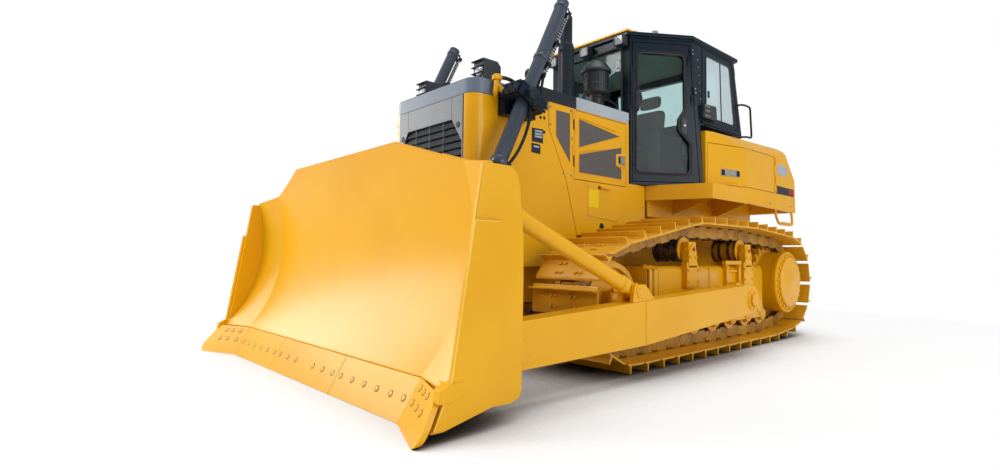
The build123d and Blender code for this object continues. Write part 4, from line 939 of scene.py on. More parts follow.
frame_part = Part("front_louvre_frame", slate)
top_half, low_half, sill = 306, 444, 1893
for mirror in (1, -1):
    cheek = [(mirror * top_half, sill), (mirror * low_half, 1690), (mirror * 444, 2068),
        (mirror * top_half, 2068)]
    frame_part.prism([ahead(front - 30, y, z) for y, z in cheek], Vector((0.034, 0, 0)))
    post = [(mirror * 428, 1190), (mirror * 444, 1190), (mirror * 444, 1700), (mirror * 428, 1712)]
    frame_part.prism([ahead(front - 30, y, z) for y, z in post], Vector((0.034, 0, 0)))
header = [(-top_half, sill), (top_half, sill), (top_half, 2068), (-top_half, 2068)]
frame_part.prism([ahead(front - 30, y, z) for y, z in header], Vector((0.034, 0, 0)))
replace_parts(frame_part.make(3, 30), "grille")
plug = Part("guard_front_plugs", pipe_black)
for side, height in ((385, 1843), (-385, 1843)):
    plug.turned((front + 2, side, height), (1, 0, 0), ((0, 24), (4, 24), (6, 21)), 20)
plug.make()
tab = Part("guard_front_brackets", yellow)
for side in (420, -420):
    tab.box((front - 2, side - 40, 1400), (front + 28, side + 40, 1424))
    tab.box((front + 20, side - 40, 1380), (front + 30, side + 40, 1424))
    tab.turned((front + 6, side, 1425), (0, 0, 1), ((0, 16), (12, 16), (14, 13)), 12)
tab.make(2, 30, 1)

# %% Head lamps
lamp_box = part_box("head_lamps")
ribs_part, lenses = Part("head_lamp_ribs", pipe_black), Part("head_lamp_lenses", lens)
front_face = (lamp_box[1][0] - axle) * 1000
for side in (-390, 390):
    for height in (2225, 2275, 2325, 2372):
        ribs_part.box((front_face - 4, side - 62, height),
            (front_face + 26, side + 62, height + 7))
    lenses.turned((front_face - 2, side + 12, 2300), (1, 0, 0),
        ((0, 48), (6, 48), (14, 40), (18, 22)), 28)
    ribs_part.turned((front_face - 3, side + 12, 2300), (1, 0, 0),
        ((0, 54), (8, 54), (8, 49), (0, 49)), 28)
    for foot in (-50, 50):
        ribs_part.box((front_face - 150, side + foot - 8, 2186),
            (front_face - 30, side + foot + 8, 2200))
lenses.make(0, 30)
ribs_part.make(1, 30, 1)

# %% Filler elbows, hoses and bail rail on the hood
elbow = Part("coolant_elbows", yellow)
elbow.hose([(3570, 520, 2060), (3655, 596, 2070), (3652, 598, 2120), (3632, 594, 2196)], 19, 16)
elbow.turned((3634, 594, 2182), (-0.1, 0, 1), ((0, 37), (8, 40), (34, 40), (42, 30)), 8)
elbow.hose([(3632, 594, 2150), (3600, 598, 2120), (3560, 590, 2104), (3520, 560, 2090)], 22, 16)
elbow.turned((3576, 590, 2104), (0.2, 0.2, 1), ((0, 44), (24, 46), (34, 36)), 24)
elbow.make(0, 40)
hood_hose = Part("hood_hoses", rubber, slot="yellow_paint")
hood_hose.hose([(3626, 590, 2206), (3540, 580, 2226), (3420, 540, 2236), (3280, 420, 2272),
    (2900, 380, 2272), (2560, 360, 2272)], 15, 12)
hood_hose.hose([(3490, -380, 2210), (3300, -400, 2280), (2900, -390, 2276), (2500, -300, 2272)],
    14, 12)
hood_hose.make(0, 40)
clips = Part("hood_hose_clips", bolt)
for place in (3300, 3000, 2700):
    side = 392 - (3200 - place) * 0.045
    clips.turned((place, side, 2281 - (3300 - place) * 0.012), (1, 0, 0), ((-8, 19.5), (8, 19.5)),
        16)
    clips.box((place - 8, side - 34, 2253), (place + 8, side - 14, 2262))
clips.make(0, 40)

rail = Part("hood_rails", pipe_black)
for mirror in (1, -1):
    rail.hose([(2394, mirror * 420, 2252), (2394, mirror * 420, 2400), (2350, mirror * 415, 2406),
        (2000, mirror * 405, 2388), (1840, mirror * 400, 2372), (1836, mirror * 400, 2252)], 11,
        12)
rail.hose([(2110, 120, 2252), (2110, 120, 2360), (2110, 360, 2360), (2110, 380, 2252)], 8, 12)
rail.hose([(1850, 120, 2252), (1850, 120, 2360), (1850, 360, 2360), (1850, 380, 2252)], 8, 12)
rail.make(0, 40)

# %% Air intake bowl
bowl = Part("intake_bowl", plastic, slot="dark_pipe")
centre = ahead(1981, 240, 0)
bowl.turned(centre, (0, 0, 1), ((2254, 66), (2300, 66), (2302, 72), (2316, 72), (2318, 66),
    (2470, 66), (2478, 92), (2492, 118), (2500, 122), (2690, 122), (2696, 150), (2704, 156),
    (2716, 156), (2724, 150), (2760, 128), (2800, 92), (2820, 48), (2826, 6)), 40)
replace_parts(bowl.make(0, 40), "pre_cleaner")
fins = Part("intake_fins", plastic, slot="dark_pipe")
for i in range(28):
    angle = 2 * pi * i / 28
    out = Vector((cos(angle), sin(angle), 0))
    side_way = Vector((-sin(angle), cos(angle), 0)) * 0.003
    base = centre + out * 0.1205 + Vector((0, 0, 2.515))
    fins.prism([base - side_way, base + side_way, base + side_way + out * 0.007,
        base - side_way + out * 0.007], Vector((0, 0, 0.165)))
fins.turned(centre, (0, 0, 1), ((2560, 124), (2566, 127), (2574, 127), (2580, 124)), 40)
fins.make(0, 40)

# %% Exhaust
stack = Part("exhaust_pipe", pipe_black, slot="dark_pipe")
base = ahead(2300, 120, 0)
stack.turned(base, (0, 0, 1), ((2254, 96), (2262, 96), (2262, 80), (2900, 80), (2940, 70),
    (2956, 60), (3120, 60)), 40)
shell_rows = []
for radius, shift in ((60, 0), (54, 0)):
    row = []
    for i in range(40):
        angle = 2 * pi * i / 40
        high = 3150 + (1 - cos(angle)) * 42 + 8
        row.append(base + Vector((cos(angle) * radius, sin(angle) * radius, high)) / 1000)
    shell_rows.append(row)
outer = [stack.bm.verts.new(p) for p in shell_rows[0]]
inner = [stack.bm.verts.new(p) for p in shell_rows[1]]
low_outer = [stack.bm.verts.new(Vector((p.x, p.y, 3.11))) for p in shell_rows[0]]
low_inner = [stack.bm.verts.new(Vector((p.x, p.y, 3.11))) for p in shell_rows[1]]
for i in range(40):
    j = (i + 1) % 40
    for a, b in ((low_outer, outer), (outer, inner), (inner, low_inner), (low_inner, low_outer)):
        stack.bm.faces.new((a[i], a[j], b[j], b[i]))
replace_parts(stack.make(0, 40), "exhaust_stack")
clamp = Part("exhaust_clamps", pipe_black, slot="dark_pipe")
for height in (2330, 2860):
    clamp.turned(base, (0, 0, 1), ((height, 80), (height + 3, 82.5), (height + 19, 82.5),
        (height + 22, 80)), 40)
    clamp.box((2300 + 74, 108, height + 2), (2300 + 96, 132, height + 20))
clamp.make(0, 30)
print("front of the machine dressed")

# %% [markdown]
# ## Lift cylinders and their yokes
#
# Each cylinder hangs in a trunnion ring: a dark casting on the guard's side, with a round
# bearing cap outside.  A clamp ring near the barrel's top carries two steel tubes that run
# down beside the barrel, and hoses with spiral guards lead from them to the hood.

# %% Cylinder dress
yoke_at, eye_at, off = (3477, 2035), (4207, 560), 727
down = Vector((eye_at[0] - yoke_at[0], 0, eye_at[1] - yoke_at[1])).normalized()
over = Vector((-down.z, 0, down.x))


def along(mirror, run, side=0, over_by=0):
    """Beside the cylinder: run millimetres below its trunnion, out to the side, and over it."""
    start = ahead(yoke_at[0], mirror * (off + side), yoke_at[1])
    return start + down * (run / 1000) + over * (over_by / 1000)


for side in (1, -1):
    body = "cylinder"
    bands = Part("cylinder_bands", slate, side, body)
    # each band is a ring that comes back to where it began, because the rod runs through it
    for run, radius, wide in ((-950, 55.5, 26), (-420, 56, 30), (-96, 60, 30), (540, 64, 57)):
        bands.turned(along(side, run), down, ((0, 51), (0, radius), (3, radius + 2),
            (wide - 3, radius + 2), (wide, radius), (wide, 51), (0, 51)), 36, closed=False)
    bands.turned(along(side, -1000), down, ((0, 30), (2, 46), (8, 52)), 36)
    for run in (-944, -414):
        x, z = (along(side, run).x - axle) * 1000, along(side, run).z * 1000
        bands.box((x - 88, off - 12, z - 14), (x - 57, off + 12, z + 14))
    bands.make(1, 34, 1)
    tubes = Part("cylinder_tubes", chrome, side, body)
    for spread in (-17, 17):
        tubes.hose([along(side, -955, spread, -30), along(side, -950, spread, -78),
            along(side, -900, spread, -88), along(side, -300, spread, -82)], 9, 12)
    tubes.make(0, 40)
    blocks = Part("cylinder_blocks", pipe_black, side, body, slot="slate_paint")
    for run in (-960, -640, -420):
        blocks.prism([along(side, run, -30, -66), along(side, run, 30, -66),
            along(side, run, 30, -104), along(side, run, -30, -104)], down * 0.034)
    for spread in (-17, 17):
        blocks.turned(along(side, -306, spread, -82), down,
            ((-12, 13), (0, 15), (24, 15), (26, 12), (46, 12)), 6)
        blocks.hose([along(side, -270, spread, -82), along(side, -170, spread * 1.6, -96),
            along(side, -90, spread * 2.2, -120), along(side, -40, spread * 2.6, -104),
            along(side, 0, spread * 1.4, -66)], 11, 12)
    blocks.hose([along(side, 40, 58, -30), along(side, 130, 80, -60), along(side, 330, 84, -78),
        along(side, 500, 70, -66), along(side, 560, 40, -56)], 12, 12)
    blocks.turned(along(side, 552, 34, -58), down, ((-10, 22), (0, 30), (28, 30), (36, 20)), 18)
    for spread in (-17, 17):
        for step in range(20):
            run = -880 + step * 28
            blocks.turned(along(side, run, spread, -87), down,
                ((0, 9), (2, 11.5), (9, 11.5), (11, 9)), 10)
    blocks.make()

    casting = Part("yoke_casting", black, side)
    side_y = side * off
    for face in (1, -1):
        out = Vector((0, side * face, 0))
        seat = ahead(yoke_at[0], side_y + side * face * 100, yoke_at[1])
        casting.turned(seat, out, ((-4, 74), (6, 76), (18, 70), (22, 58), (24, 58), (30, 50),
            (33, 30)), 32)
        casting.bolt_ring(seat, out, 6, 0.060, 0.018, 8, 9)
    front_plate = [along(side, run, s, 138) for run, s in ((-54, -86), (-54, 86), (54, 86),
        (54, -86))]
    casting.prism(front_plate, over * 0.016)
    for s in (-64, 0, 64):
        for run in (-34, 34):
            casting.bolt(along(side, run, s, 154), over, 9, 9)
    casting.make(3)
    Part("yoke_cap", pipe_black, side, slot="dark_paint").turned((yoke_at[0] + 30, off + 128,
        yoke_at[1] + 8), (0, side, 0), ((-6, 44), (8, 44), (14, 38), (18, 14)), 28).make()
    # hoses that cross from the yoke to the hood
    link = Part("yoke_hoses", rubber, side)
    link.hose([(3300, 600, 2150), (3330, 690, 2250), (3340, 640, 2330), (3260, 520, 2330),
        (3150, 470, 2270), (3100, 460, 2250)], 13, 12)
    link.hose([(3320, 590, 2060), (3260, 640, 2130), (3230, 600, 2240), (3150, 510, 2270),
        (3060, 480, 2252)], 11, 12)
    link.make(0, 40)
    valve = Part("yoke_valve", pipe_black, side, slot="slate_paint")
    valve.box((3266, 556, 1930), (3352, 648, 2052))
    for dz in (1955, 2005):
        valve.turned((3310, 646, dz), (0, side, 0), ((0, 20), (14, 20), (16, 16), (30, 16)), 6)
        valve.turned((3268, 610, dz), (-1, 0, 0), ((0, 17), (18, 17), (20, 13), (26, 13)), 6)
    valve.make(3)

    rod_end = Part("rod_eye", black, side, "rod")
    seat = ahead(eye_at[0], side * off, eye_at[1])
    rod_end.turned(seat, (0, 1, 0), ((-40, 40), (-40, 62), (-34, 66), (34, 66), (40, 62),
        (40, 40)), 36)
    rod_end.turned(seat - down * 0.112, down, ((0, 38), (4, 44), (40, 48), (54, 50)), 32)
    rod_end.make(0, 40)
print("cylinders dressed")

# %% [markdown]
# ## Hood sides
#
# A dark stripe and a pale stripe run along the hood's side band.  Wire mesh fills the fixed
# window and the two door windows, behind yellow frames.  The latch box, hinge seams, corner
# bolts, blank plates and the access panel below follow.

# %% Stripes, mesh panels and frames
flank = 554                      # the hood side's skin
door_panes = {"upper": ((2622, 2068), (2012, 2002), (2622, 1812)),
    "lower": ((2622, 1752), (1992, 1902), (1992, 1832), (2078, 1820), (2078, 1716), (1992, 1690),
    (1992, 1590), (2622, 1590))}
fixed_pane = ((2925, 2095), (2742, 2095), (2742, 1660), (2925, 1870))
for side in (1, -1):
    dark_band = Part("hood_band_dark", dark_stripe, side)
    pale_band = Part("hood_band_pale", grey_stripe, side)
    dark_band.plate([(3330, 2148), (3330, 2196), (3175, 2256), (2662, 2256), (2662, 2148)], -2,
        2.5, flank)
    pale_band.plate([(2658, 2148), (2658, 2256), (1872, 2256), (1872, 2190), (1900, 2148)], -2,
        2.5, flank)
    for made in (dark_band, pale_band):
        made.make(1, 34, 1)
    leaf = "engine_door"
    door_mesh = Part("door_mesh", mesh_panel, side, leaf)
    door_frame = Part("door_mesh_frames", yellow, side, leaf)
    for pane in door_panes.values():
        door_mesh.plate(pane, -2, 1.2, flank)
        middle = Vector((sum(p[0] for p in pane), sum(p[1] for p in pane))) / len(pane)
        for (x0, z0), (x1, z1) in zip(pane, pane[1:] + pane[:1]):
            door_frame.hose([(x0, flank + 1.5, z0), (x1, flank + 1.5, z1)], 2.6, 8)
    door_mesh.make()
    door_frame.make(0, 40)
    fixed_mesh = Part("side_mesh", mesh_panel, side)
    fixed_frame = Part("side_mesh_frame", yellow, side)
    fixed_mesh.plate(fixed_pane, -7, -2, flank)
    fixed_mesh.make()
    for (x0, z0), (x1, z1) in zip(fixed_pane, fixed_pane[1:] + fixed_pane[:1]):
        fixed_frame.hose([(x0, flank + 0.5, z0), (x1, flank + 0.5, z1)], 2.6, 8)
    fixed_frame.make(0, 40)

    Part("door_latch_plate", yellow, side, leaf).plate([(2078, 1716), (2078, 1826), (1940, 1846),
        (1940, 1700)], -2, 7, flank).make(3, 30)
    silver = Part("door_latch", bolt, side, leaf)
    silver.plate([(2052, 1736), (2052, 1808), (1946, 1822), (1946, 1722)], 6, 11, flank)
    silver.plate([(2010, 1750), (2010, 1790), (1966, 1792), (1966, 1748)], 10, 16, flank)
    silver.dome((1990, flank + 15, 1770), (0, side, 0), 9, 5)
    silver.make(2, 30, 1)
    Part("door_latch_grip", pipe_black, side, leaf).plate([(2050, 1740), (2050, 1804),
        (2020, 1806), (2020, 1738)], 8, 12, flank).make(1, 30, 1)
    seams = Part("door_hinge_strips", pipe_black, side)
    for low, high in ((1965, 2085), (1640, 1735)):
        seams.plate([(2692, low), (2692, high), (2700, high), (2700, low)], -3, 4, flank)
    seams.make(1, 30, 1)
    Part("side_screws", bolt, side).bolts(((2990, 2108), (2728, 2120), (2826, 1560), (2722, 1556),
        (2990, 1960), (2716, 1880)), flank, 9, 7).make()
    Part("guard_screws", pipe_black, side).bolts(((3068, 2052), (3068, 1998), (3112, 1996),
        (3068, 1880)), flank, 10, 8).make()
    plates = Part("blank_plates", dark_stripe, side)
    plates.plate([(3215, 1895), (3215, 1782), (3082, 1782), (3082, 1900)], -1, 2, flank)
    plates.plate([(3218, 1770), (3218, 1692), (3112, 1688), (3112, 1762), (3130, 1768)], -1, 2,
        flank)
    plates.make(1, 30, 1)
    lines = Part("blank_plate_bands", grey_stripe, side)
    for low in (1868, 1844, 1822):
        lines.plate([(3180, low), (3180, low + 14), (3092, low + 16), (3092, low + 2)], 1.5, 2.4,
            flank)
    lines.plate([(3195, 1738), (3195, 1752), (3130, 1752), (3130, 1738)], 1.5, 2.4, flank)
    lines.make(0.5, 30, 1)

# %% Access panel, blank label and plugs below the doors
for side in (1, -1):
    panel = Part("side_panel", yellow, side)
    panel.plate([(2500, 1500), (2500, 1215), (2060, 1180), (2060, 1492)], -2, 5, flank)
    panel.plate([(2330, 1494), (2330, 1470), (2186, 1468), (2186, 1492)], 4, 30, flank)
    panel.make(4, 30)
    slot_part = Part("side_panel_slot", pipe_black, side)
    slot_part.plate([(2352, 1496), (2352, 1466), (2332, 1466), (2332, 1496)], 3, 8, flank)
    for x, z in ((2298, 1128), (1688, 1180)):
        slot_part.turned((x, flank - 2, z), (0, side, 0), ((0, 31), (5, 31), (7, 28)), 24)
    slot_part.make(1, 34, 1)
    Part("blank_label", lemon, side).plate([(2488, 1462), (2488, 1300), (2350, 1292),
        (2350, 1454)], 4, 6, flank).make(1, 30, 1)
    corner = Part("side_panel_screws", bolt, side)
    for x, z in ((2486, 1484), (2488, 1232), (2076, 1476), (2076, 1198)):
        corner.dome((x, flank + 5, z), (0, side, 0), 8, 4)
    corner.make()
print("hood sides dressed")

# %% [markdown]
# ## The cab
#
# The door wall turns outward from the front pillar to the corner.  The door's rubber seal,
# handle, lock and hinges stand on that wall; the quarter window has a sliding pane.  Inside
# are the padded seat, the console with its levers, a screen and the headliner.

# %% The door wall as a frame of reference
pillar, corner_at = Vector((1795, 504)), Vector((1145, 942))
wall_run = (corner_at - pillar).length
wall_way = (corner_at - pillar) / wall_run


def on_wall(side, run, height, out=0.0):
    """A place on a door wall: millimetres from the front pillar, up, and outward."""
    x = pillar.x + wall_way.x * run + wall_way.y * out
    y = pillar.y + wall_way.y * run - wall_way.x * out
    return ahead(x, side * y, height)


def corner_run(height):
    """How far along the wall the leaning corner is at a height."""
    return wall_run - (height - 1569) * 0.0414 / wall_way.y


def on_side(side, place, height, out=0.0):
    """A place on the cab's leaning side."""
    return ahead(place, side * (942 - (height - 1569) * 0.0414 + out), height)


pane_outline = [(73, 1692), (76, 2295), (132, 2394), (132, 2453), (90, 2551), (98, 2900),
    (584, 2895), (592, 2352), (527, 2250), (524, 2129), (647, 1993), (644, 1689)]


def rounded_outline(points, radius, steps=5):
    """The same outline with its corners rounded, for seals and trims."""
    result, count = [], len(points)
    for i in range(count):
        a, b, c = (Vector(points[(i + k) % count]) for k in (-1, 0, 1))
        back, on = (a - b).normalized(), (c - b).normalized()
        cut = min(radius * tan((pi - back.angle(on)) / 2), (a - b).length * 0.48,
            (c - b).length * 0.48)
        start, end = b + back * cut, b + on * cut
        for k in range(steps + 1):
            t = k / steps
            result.append(start * (1 - t) ** 2 + b * (2 * t * (1 - t)) + end * t ** 2)
    return result


def closed_bar(part, points, radius, sides=8):
    """A round bar along a closed loop of points."""
    count = len(points)
    ways = [(points[(i + 1) % count] - points[i - 1]).normalized() for i in range(count)]
    out = (points[1] - points[0]).cross(points[2] - points[1])
    for i in range(2, count - 1):
        out += (points[i] - points[i - 1]).cross(points[i + 1] - points[i])
    out.normalize()
    rows = []
    for p, way in zip(points, ways):
        up = way.cross(out)
        rows.append([part.bm.verts.new(p + (out * cos(2 * pi * k / sides)
            + up * sin(2 * pi * k / sides)) * (radius / 1000)) for k in range(sides)])
    for i in range(count):
        a, b = rows[i], rows[(i + 1) % count]
        for k in range(sides):
            j = (k + 1) % sides
            part.bm.faces.new((a[k], a[j], b[j], b[k]))


# %% Door seals, handles, locks and hinges
quarter = [(966, 2965), (449, 2965), (395, 2310), (1021, 2310)]
for side in (1, -1):
    leaf = "cab_door"
    seal = Part("door_seal", rubber, side, leaf)
    closed_bar(seal, [on_wall(side, r, z, 2) for r, z in rounded_outline(pane_outline, 62)], 9)
    closed_bar(seal, [on_wall(side, r, z, 0.5) for r, z in rounded_outline([(72 - 17, 1675),
        (58, 2300), (114, 2398), (114, 2448), (72, 2548), (80, 2918), (602, 2913), (611, 2348),
        (546, 2246), (543, 2136), (666, 2000), (662, 1671)], 56)], 4)
    seal.make(0, 50)
    handle = Part("door_handle", plastic, side, leaf)
    handle.hose([on_wall(side, 84, 2500, 0), on_wall(side, 84, 2500, 34),
        on_wall(side, 92, 2430, 44), on_wall(side, 92, 2370, 44), on_wall(side, 84, 2310, 34),
        on_wall(side, 84, 2310, 0)], 11, 14)
    base = [on_wall(side, r, z, -2) for r, z in rounded_outline([(62, 2300), (62, 2512),
        (108, 2512), (108, 2300)], 20)]
    handle.prism(base, on_wall(side, 0, 0, 8) - on_wall(side, 0, 0, 0))
    lock_base = [on_wall(side, r, z, -2) for r, z in rounded_outline([(556, 2100), (556, 2250),
        (612, 2250), (612, 2100)], 20)]
    handle.prism(lock_base, on_wall(side, 0, 0, 7) - on_wall(side, 0, 0, 0))
    handle.make(2)
    barrel = Part("door_lock", bolt, side, leaf, slot="dark_plastic")
    out = (on_wall(side, 0, 0, 10) - on_wall(side, 0, 0, 0)).normalized()
    barrel.turned(on_wall(side, 86, 2488, 6), out, ((0, 11), (5, 11), (7, 8)), 18)
    barrel.turned(on_wall(side, 584, 2178, 4), out, ((0, 12), (6, 12), (9, 9)), 18)
    barrel.make()
    hinge = Part("door_hinges", black, side)
    for low in (2500, 2895):
        run = corner_run(low) - 34
        foot = [on_wall(side, run + d, z, -1) for d, z in ((-4, low), (30, low), (28, low + 78),
            (-8, low + 78))]
        hinge.prism(foot, on_wall(side, 0, 0, 9) - on_wall(side, 0, 0, 0))
        hinge.turned(on_wall(side, run, low, 9), (on_wall(side, corner_run(low + 500) - 34,
            low + 500, 9) - on_wall(side, run, low, 9)), ((2, 9.5), (76, 9.5)), 16)
    hinge.make(1.5, 34, 1)
    screws = Part("hinge_screws", bolt, side, slot="dark_paint")
    for low in (2500, 2895):
        for lift in (18, 58):
            run = corner_run(low + lift) - 16
            screws.bolt(on_wall(side, run + 6, low + lift, 7), out, 7, 6, False)
    for height in (2400, 2475, 2560, 2640, 2720, 2800, 2880):
        screws.dome(on_side(side, 1108 + (height - 2310) * 0.062, height), (0, side, 0.04), 6, 4)
    screws.make()

    # quarter window: frame, seal, sliding panes
    rim = Part("quarter_seal", rubber, side)
    closed_bar(rim, [on_side(side, x, z, 0.5) for x, z in rounded_outline(quarter, 45)], 6)
    rim.hose([on_side(side, 660, 2962, 0), on_side(side, 686, 2312, 0)], 6, 8)
    rim.make(0, 50)
    # the quarter panes wear the glass with painted sky in it
    Part("quarter_panes", sky_glass, side).prism([on_side(side, x, z, -7) for x,
        z in rounded_outline(quarter, 45)], Vector((0, side * 0.004, 0))).make()
    Part("quarter_catch", plastic, side).prism([on_side(side, x, z, -4) for x,
        z in ((962, 2590), (940, 2590), (940, 2520), (962, 2520))],
        Vector((0, side * 0.016, 0))).make(3)
    trim = Part("cab_side_trim", black, side)
    outer = rounded_outline([(1040, 3024), (383, 3024), (293, 2262), (1107, 2262)], 40)
    closed_bar(trim, [on_side(side, x, z, 0.5) for x, z in outer], 5)
    # the sill under the quarter window, and the long moulding along it
    trim.hose([on_side(side, 1120, 2236, 2), on_side(side, 700, 2232, 6),
        on_side(side, 300, 2226, 4)], 13, 12)
    trim.hose([on_side(side, 1060, 2208, 4), on_side(side, 860, 2206, 10),
        on_side(side, 240, 2204, 4)], 9, 12)
    trim.make(0, 50)
    box = Part("cab_side_box", plastic, side)
    plate = rounded_outline([(1122, 2416), (872, 2430), (868, 2276), (1134, 2270)], 14)
    box.prism([on_side(side, x, z, -2) for x, z in plate], Vector((0, side * 0.046, 0)))
    box.make(5)
    studs = Part("cab_box_studs", bolt, side, slot="dark_plastic")
    for x in (1104, 1070, 1036):
        for z in (2398, 2350, 2298):
            studs.bolt(on_side(side, x, z, 44), (0, side, 0), 9, 7)
    studs.make()
    Part("cab_grab_rail", pipe_black, side, slot="dark_paint").hose([on_side(side, 290, 2566, 0),
        on_side(side, 274, 2568, 46), on_side(side, 236, 2566, 60), on_side(side, 170, 2566, 62),
        on_side(side, 98, 2564, 60), on_side(side, 98, 2500, 60), on_side(side, 98, 2300, 60),
        on_side(side, 98, 2214, 60), on_side(side, 160, 2210, 60), on_side(side, 228, 2210, 46),
        on_side(side, 240, 2211, 0)], 11, 14).make(0, 40)
    # drip rail on the door wall, under the roof
    drip = Part("cab_drip_rail", black, side)
    drip.hose([on_wall(side, 16, 3050, 4), on_wall(side, corner_run(3050) - 4, 3050, 4)], 9, 10)
    drip.hose([on_side(side, 1225, 3050, 3), on_side(side, 345, 3050, 3)], 9, 10)
    drip.hose([on_wall(side, 12, 1580, 3), on_wall(side, 12, 3040, 3)], 8, 10)
    drip.make(0, 40)
print("doors and windows dressed")

# %% Roof, lamps and mirrors
for side in (1, -1):
    rear_lamp = Part("rear_corner_lamp", plastic, side, slot="lamp_body")
    rear_lamp.turned((262, 838, 3088), (-0.6, side * 0.4, -0.1),
        ((0, 12), (6, 24), (26, 26), (32, 24)), 24)
    rear_lamp.hose([(290, 840, 3040), (282, 840, 3100), (262, 838, 3096)], 9, 10)
    rear_lamp.hose([(262, 838, 3080), (236, 846, 2990), (224, 842, 2900), (252, 838, 2830)], 7, 10)
    rear_lamp.make(0, 40)
    Part("rear_corner_lens", lens, side).turned(ahead(262, side * 838, 3088)
        + Vector((-0.6, side * 0.4, -0.1)).normalized() * 0.031, (-0.6, side * 0.4, -0.1),
        ((0, 23), (3, 22), (6, 15)), 24).make(0, 40)
Part("roof_beacon", lens).turned((1480, 600, 3104), (0, 0, 1),
    ((14, 34), (40, 36), (60, 30), (68, 10)), 24).make(0, 40)
Part("roof_beacon_foot", pipe_black, slot="lamp_body").turned((1480, 600, 3104), (0, 0, 1),
    ((-2, 46), (10, 46), (16, 38)), 24).make(0, 40)
lenses = Part("cab_lamp_lenses", lens)
hoods = Part("cab_lamp_hoods", plastic, slot="lamp_body")
for side in (-440, 0, 440):
    lenses.prism([(1880, side - 45, 2970), (1880, side + 45, 2970), (1880, side + 45, 3052),
        (1880, side - 45, 3052)], Vector((0.004, 0, 0)))
    for low, high in (((1876, side - 56, 2961), (1888, side - 46, 3062)),
            ((1876, side + 46, 2961), (1888, side + 56, 3062)),
            ((1876, side - 56, 2961), (1888, side + 56, 2970)),
            ((1876, side - 56, 3052), (1888, side + 56, 3062))):
        hoods.box(low, high)
for side in (-780, 780):
    hoods.box((236, side - 46, 2981), (246, side + 46, 2990))
lenses.make(1, 30, 1)
hoods.make(1.5, 30, 1)

wipers = Part("wipers", pipe_black, slot="dark_plastic")
for side in (-190, 200):
    wipers.turned((1797, side, 1830), (1, 0, 0), ((0, 20), (16, 20), (20, 12)), 18)
    wipers.hose([(1812, side, 1830), (1822, side + 30, 2060), (1816, side + 60, 2280)], 7, 10)
    wipers.prism([(1808, side + 58, 2020), (1818, side + 66, 2020), (1818, side + 84, 2560),
        (1808, side + 76, 2560)], Vector((0.006, 0, 0)))
# the door's own wiper, parked along its front edge
for side in (1, -1):
    wipers.hose([on_wall(side, 24, 2330, 6), on_wall(side, 20, 2420, 24),
        on_wall(side, 22, 2740, 22)], 7, 10)
wipers.make(0, 40)
seal = Part("windscreen_seal", rubber)
screen = [(420, 1770), (420, 2972), (-420, 2972), (-420, 1770)]
closed_bar(seal, [ahead(1796, y, z) for y, z in rounded_outline(screen, 40)], 11)
seal.hose([(1774, 0, 1780), (1774, 0, 2965)], 10, 10)
seal.make(0, 50)

# %% Seat
def applied(piece):
    """A piece's mesh with its modifiers worked out."""
    worked_out = piece.evaluated_get(bpy.context.evaluated_depsgraph_get())
    return bpy.data.meshes.new_from_object(worked_out)


def plump(piece, voxel, most):
    """Swell a cushion by a short cloth simulation under pressure, and keep its shape."""
    piece.modifiers.new("even", "REMESH").voxel_size = voxel
    kept = applied(piece)
    piece.modifiers.clear()
    piece.data = kept
    before = [v.co.copy() for v in kept.vertices]
    sim = piece.modifiers.new("swell", "CLOTH")
    sim.settings.use_pressure = True
    sim.settings.uniform_pressure_force = 4.0
    sim.settings.effector_weights.gravity = 0.0
    for frame_number in range(1, 21):
        scene.frame_set(frame_number)
    swollen = applied(piece)
    piece.modifiers.clear()
    for vertex, start in zip(swollen.vertices, before):
        move = vertex.co - start
        if move.length > most:
            vertex.co = start + move * (most / move.length)
    piece.data = swollen
    swollen.shade_smooth()
    scene.frame_set(1)


cushions = {"seat_cushion": [(720, 1929), (1200, 1929), (1225, 1975), (1215, 2040), (1120, 2062),
    (760, 2050), (716, 2010)], "seat_back": [(735, 2030), (850, 2052), (836, 2180), (784, 2390),
    (724, 2560), (686, 2600), (626, 2596), (606, 2550), (640, 2390), (690, 2180)],
    "seat_head": [(606, 2620), (676, 2626), (692, 2670), (664, 2760), (620, 2784), (574, 2766),
    (568, 2700)]}
widths = {"seat_cushion": 252, "seat_back": 222, "seat_head": 128}
for name, outline in cushions.items():
    pad = Part(name, cloth)
    half = widths[name]
    middle = Vector((sum(p[0] for p in outline), sum(p[1] for p in outline))) / len(outline)
    rows = []
    for side, shrink in ((-half, 0.80), (-half + 16, 0.94), (-half + 60, 1.0), (0, 1.0),
            (half - 60, 1.0), (half - 16, 0.94), (half, 0.80)):
        rows.append([pad.bm.verts.new(ahead(middle.x + (x - middle.x) * shrink, side,
            middle.y + (z - middle.y) * shrink)) for x, z in outline])
    count = len(outline)
    for a, b in zip(rows, rows[1:]):
        for i in range(count):
            j = (i + 1) % count
            pad.bm.faces.new((a[i], a[j], b[j], b[i]))
    pad.bm.faces.new(rows[0][::-1])
    pad.bm.faces.new(rows[-1])
    made = pad.make(0, 80)
    smooth = made.modifiers.new("soft", "SUBSURF")
    smooth.levels = smooth.render_levels = 3
    plump(made, 0.009, 0.014)
    made.modifiers.new("smooth", "SUBSURF")
Part("seat_pedestal", plastic, slot="seat_cover").turned((930, 0, 1629), (0, 0, 1),
    [(0, 165), (20, 165)] + [(30 + 24 * i, 150 + (12 if i % 2 else 0)) for i in range(10)]
    + [(280, 165), (300, 165)], 28).make(0, 60)
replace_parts(bpy.data.objects["seat_cushion"], "seat")
piping = Part("seat_piping", grey_stripe, slot="seat_cover")
for side in (-150, 150):
    piping.hose([(846, side, 2100), (838, side, 2190), (786, side, 2380), (732, side, 2540)], 4, 8)
    piping.hose([(1216, side, 2030), (1120, side, 2065), (900, side, 2058)], 4, 8)
piping.make(0, 60)
arms = Part("seat_arm_rests", plastic, slot="seat_cover")
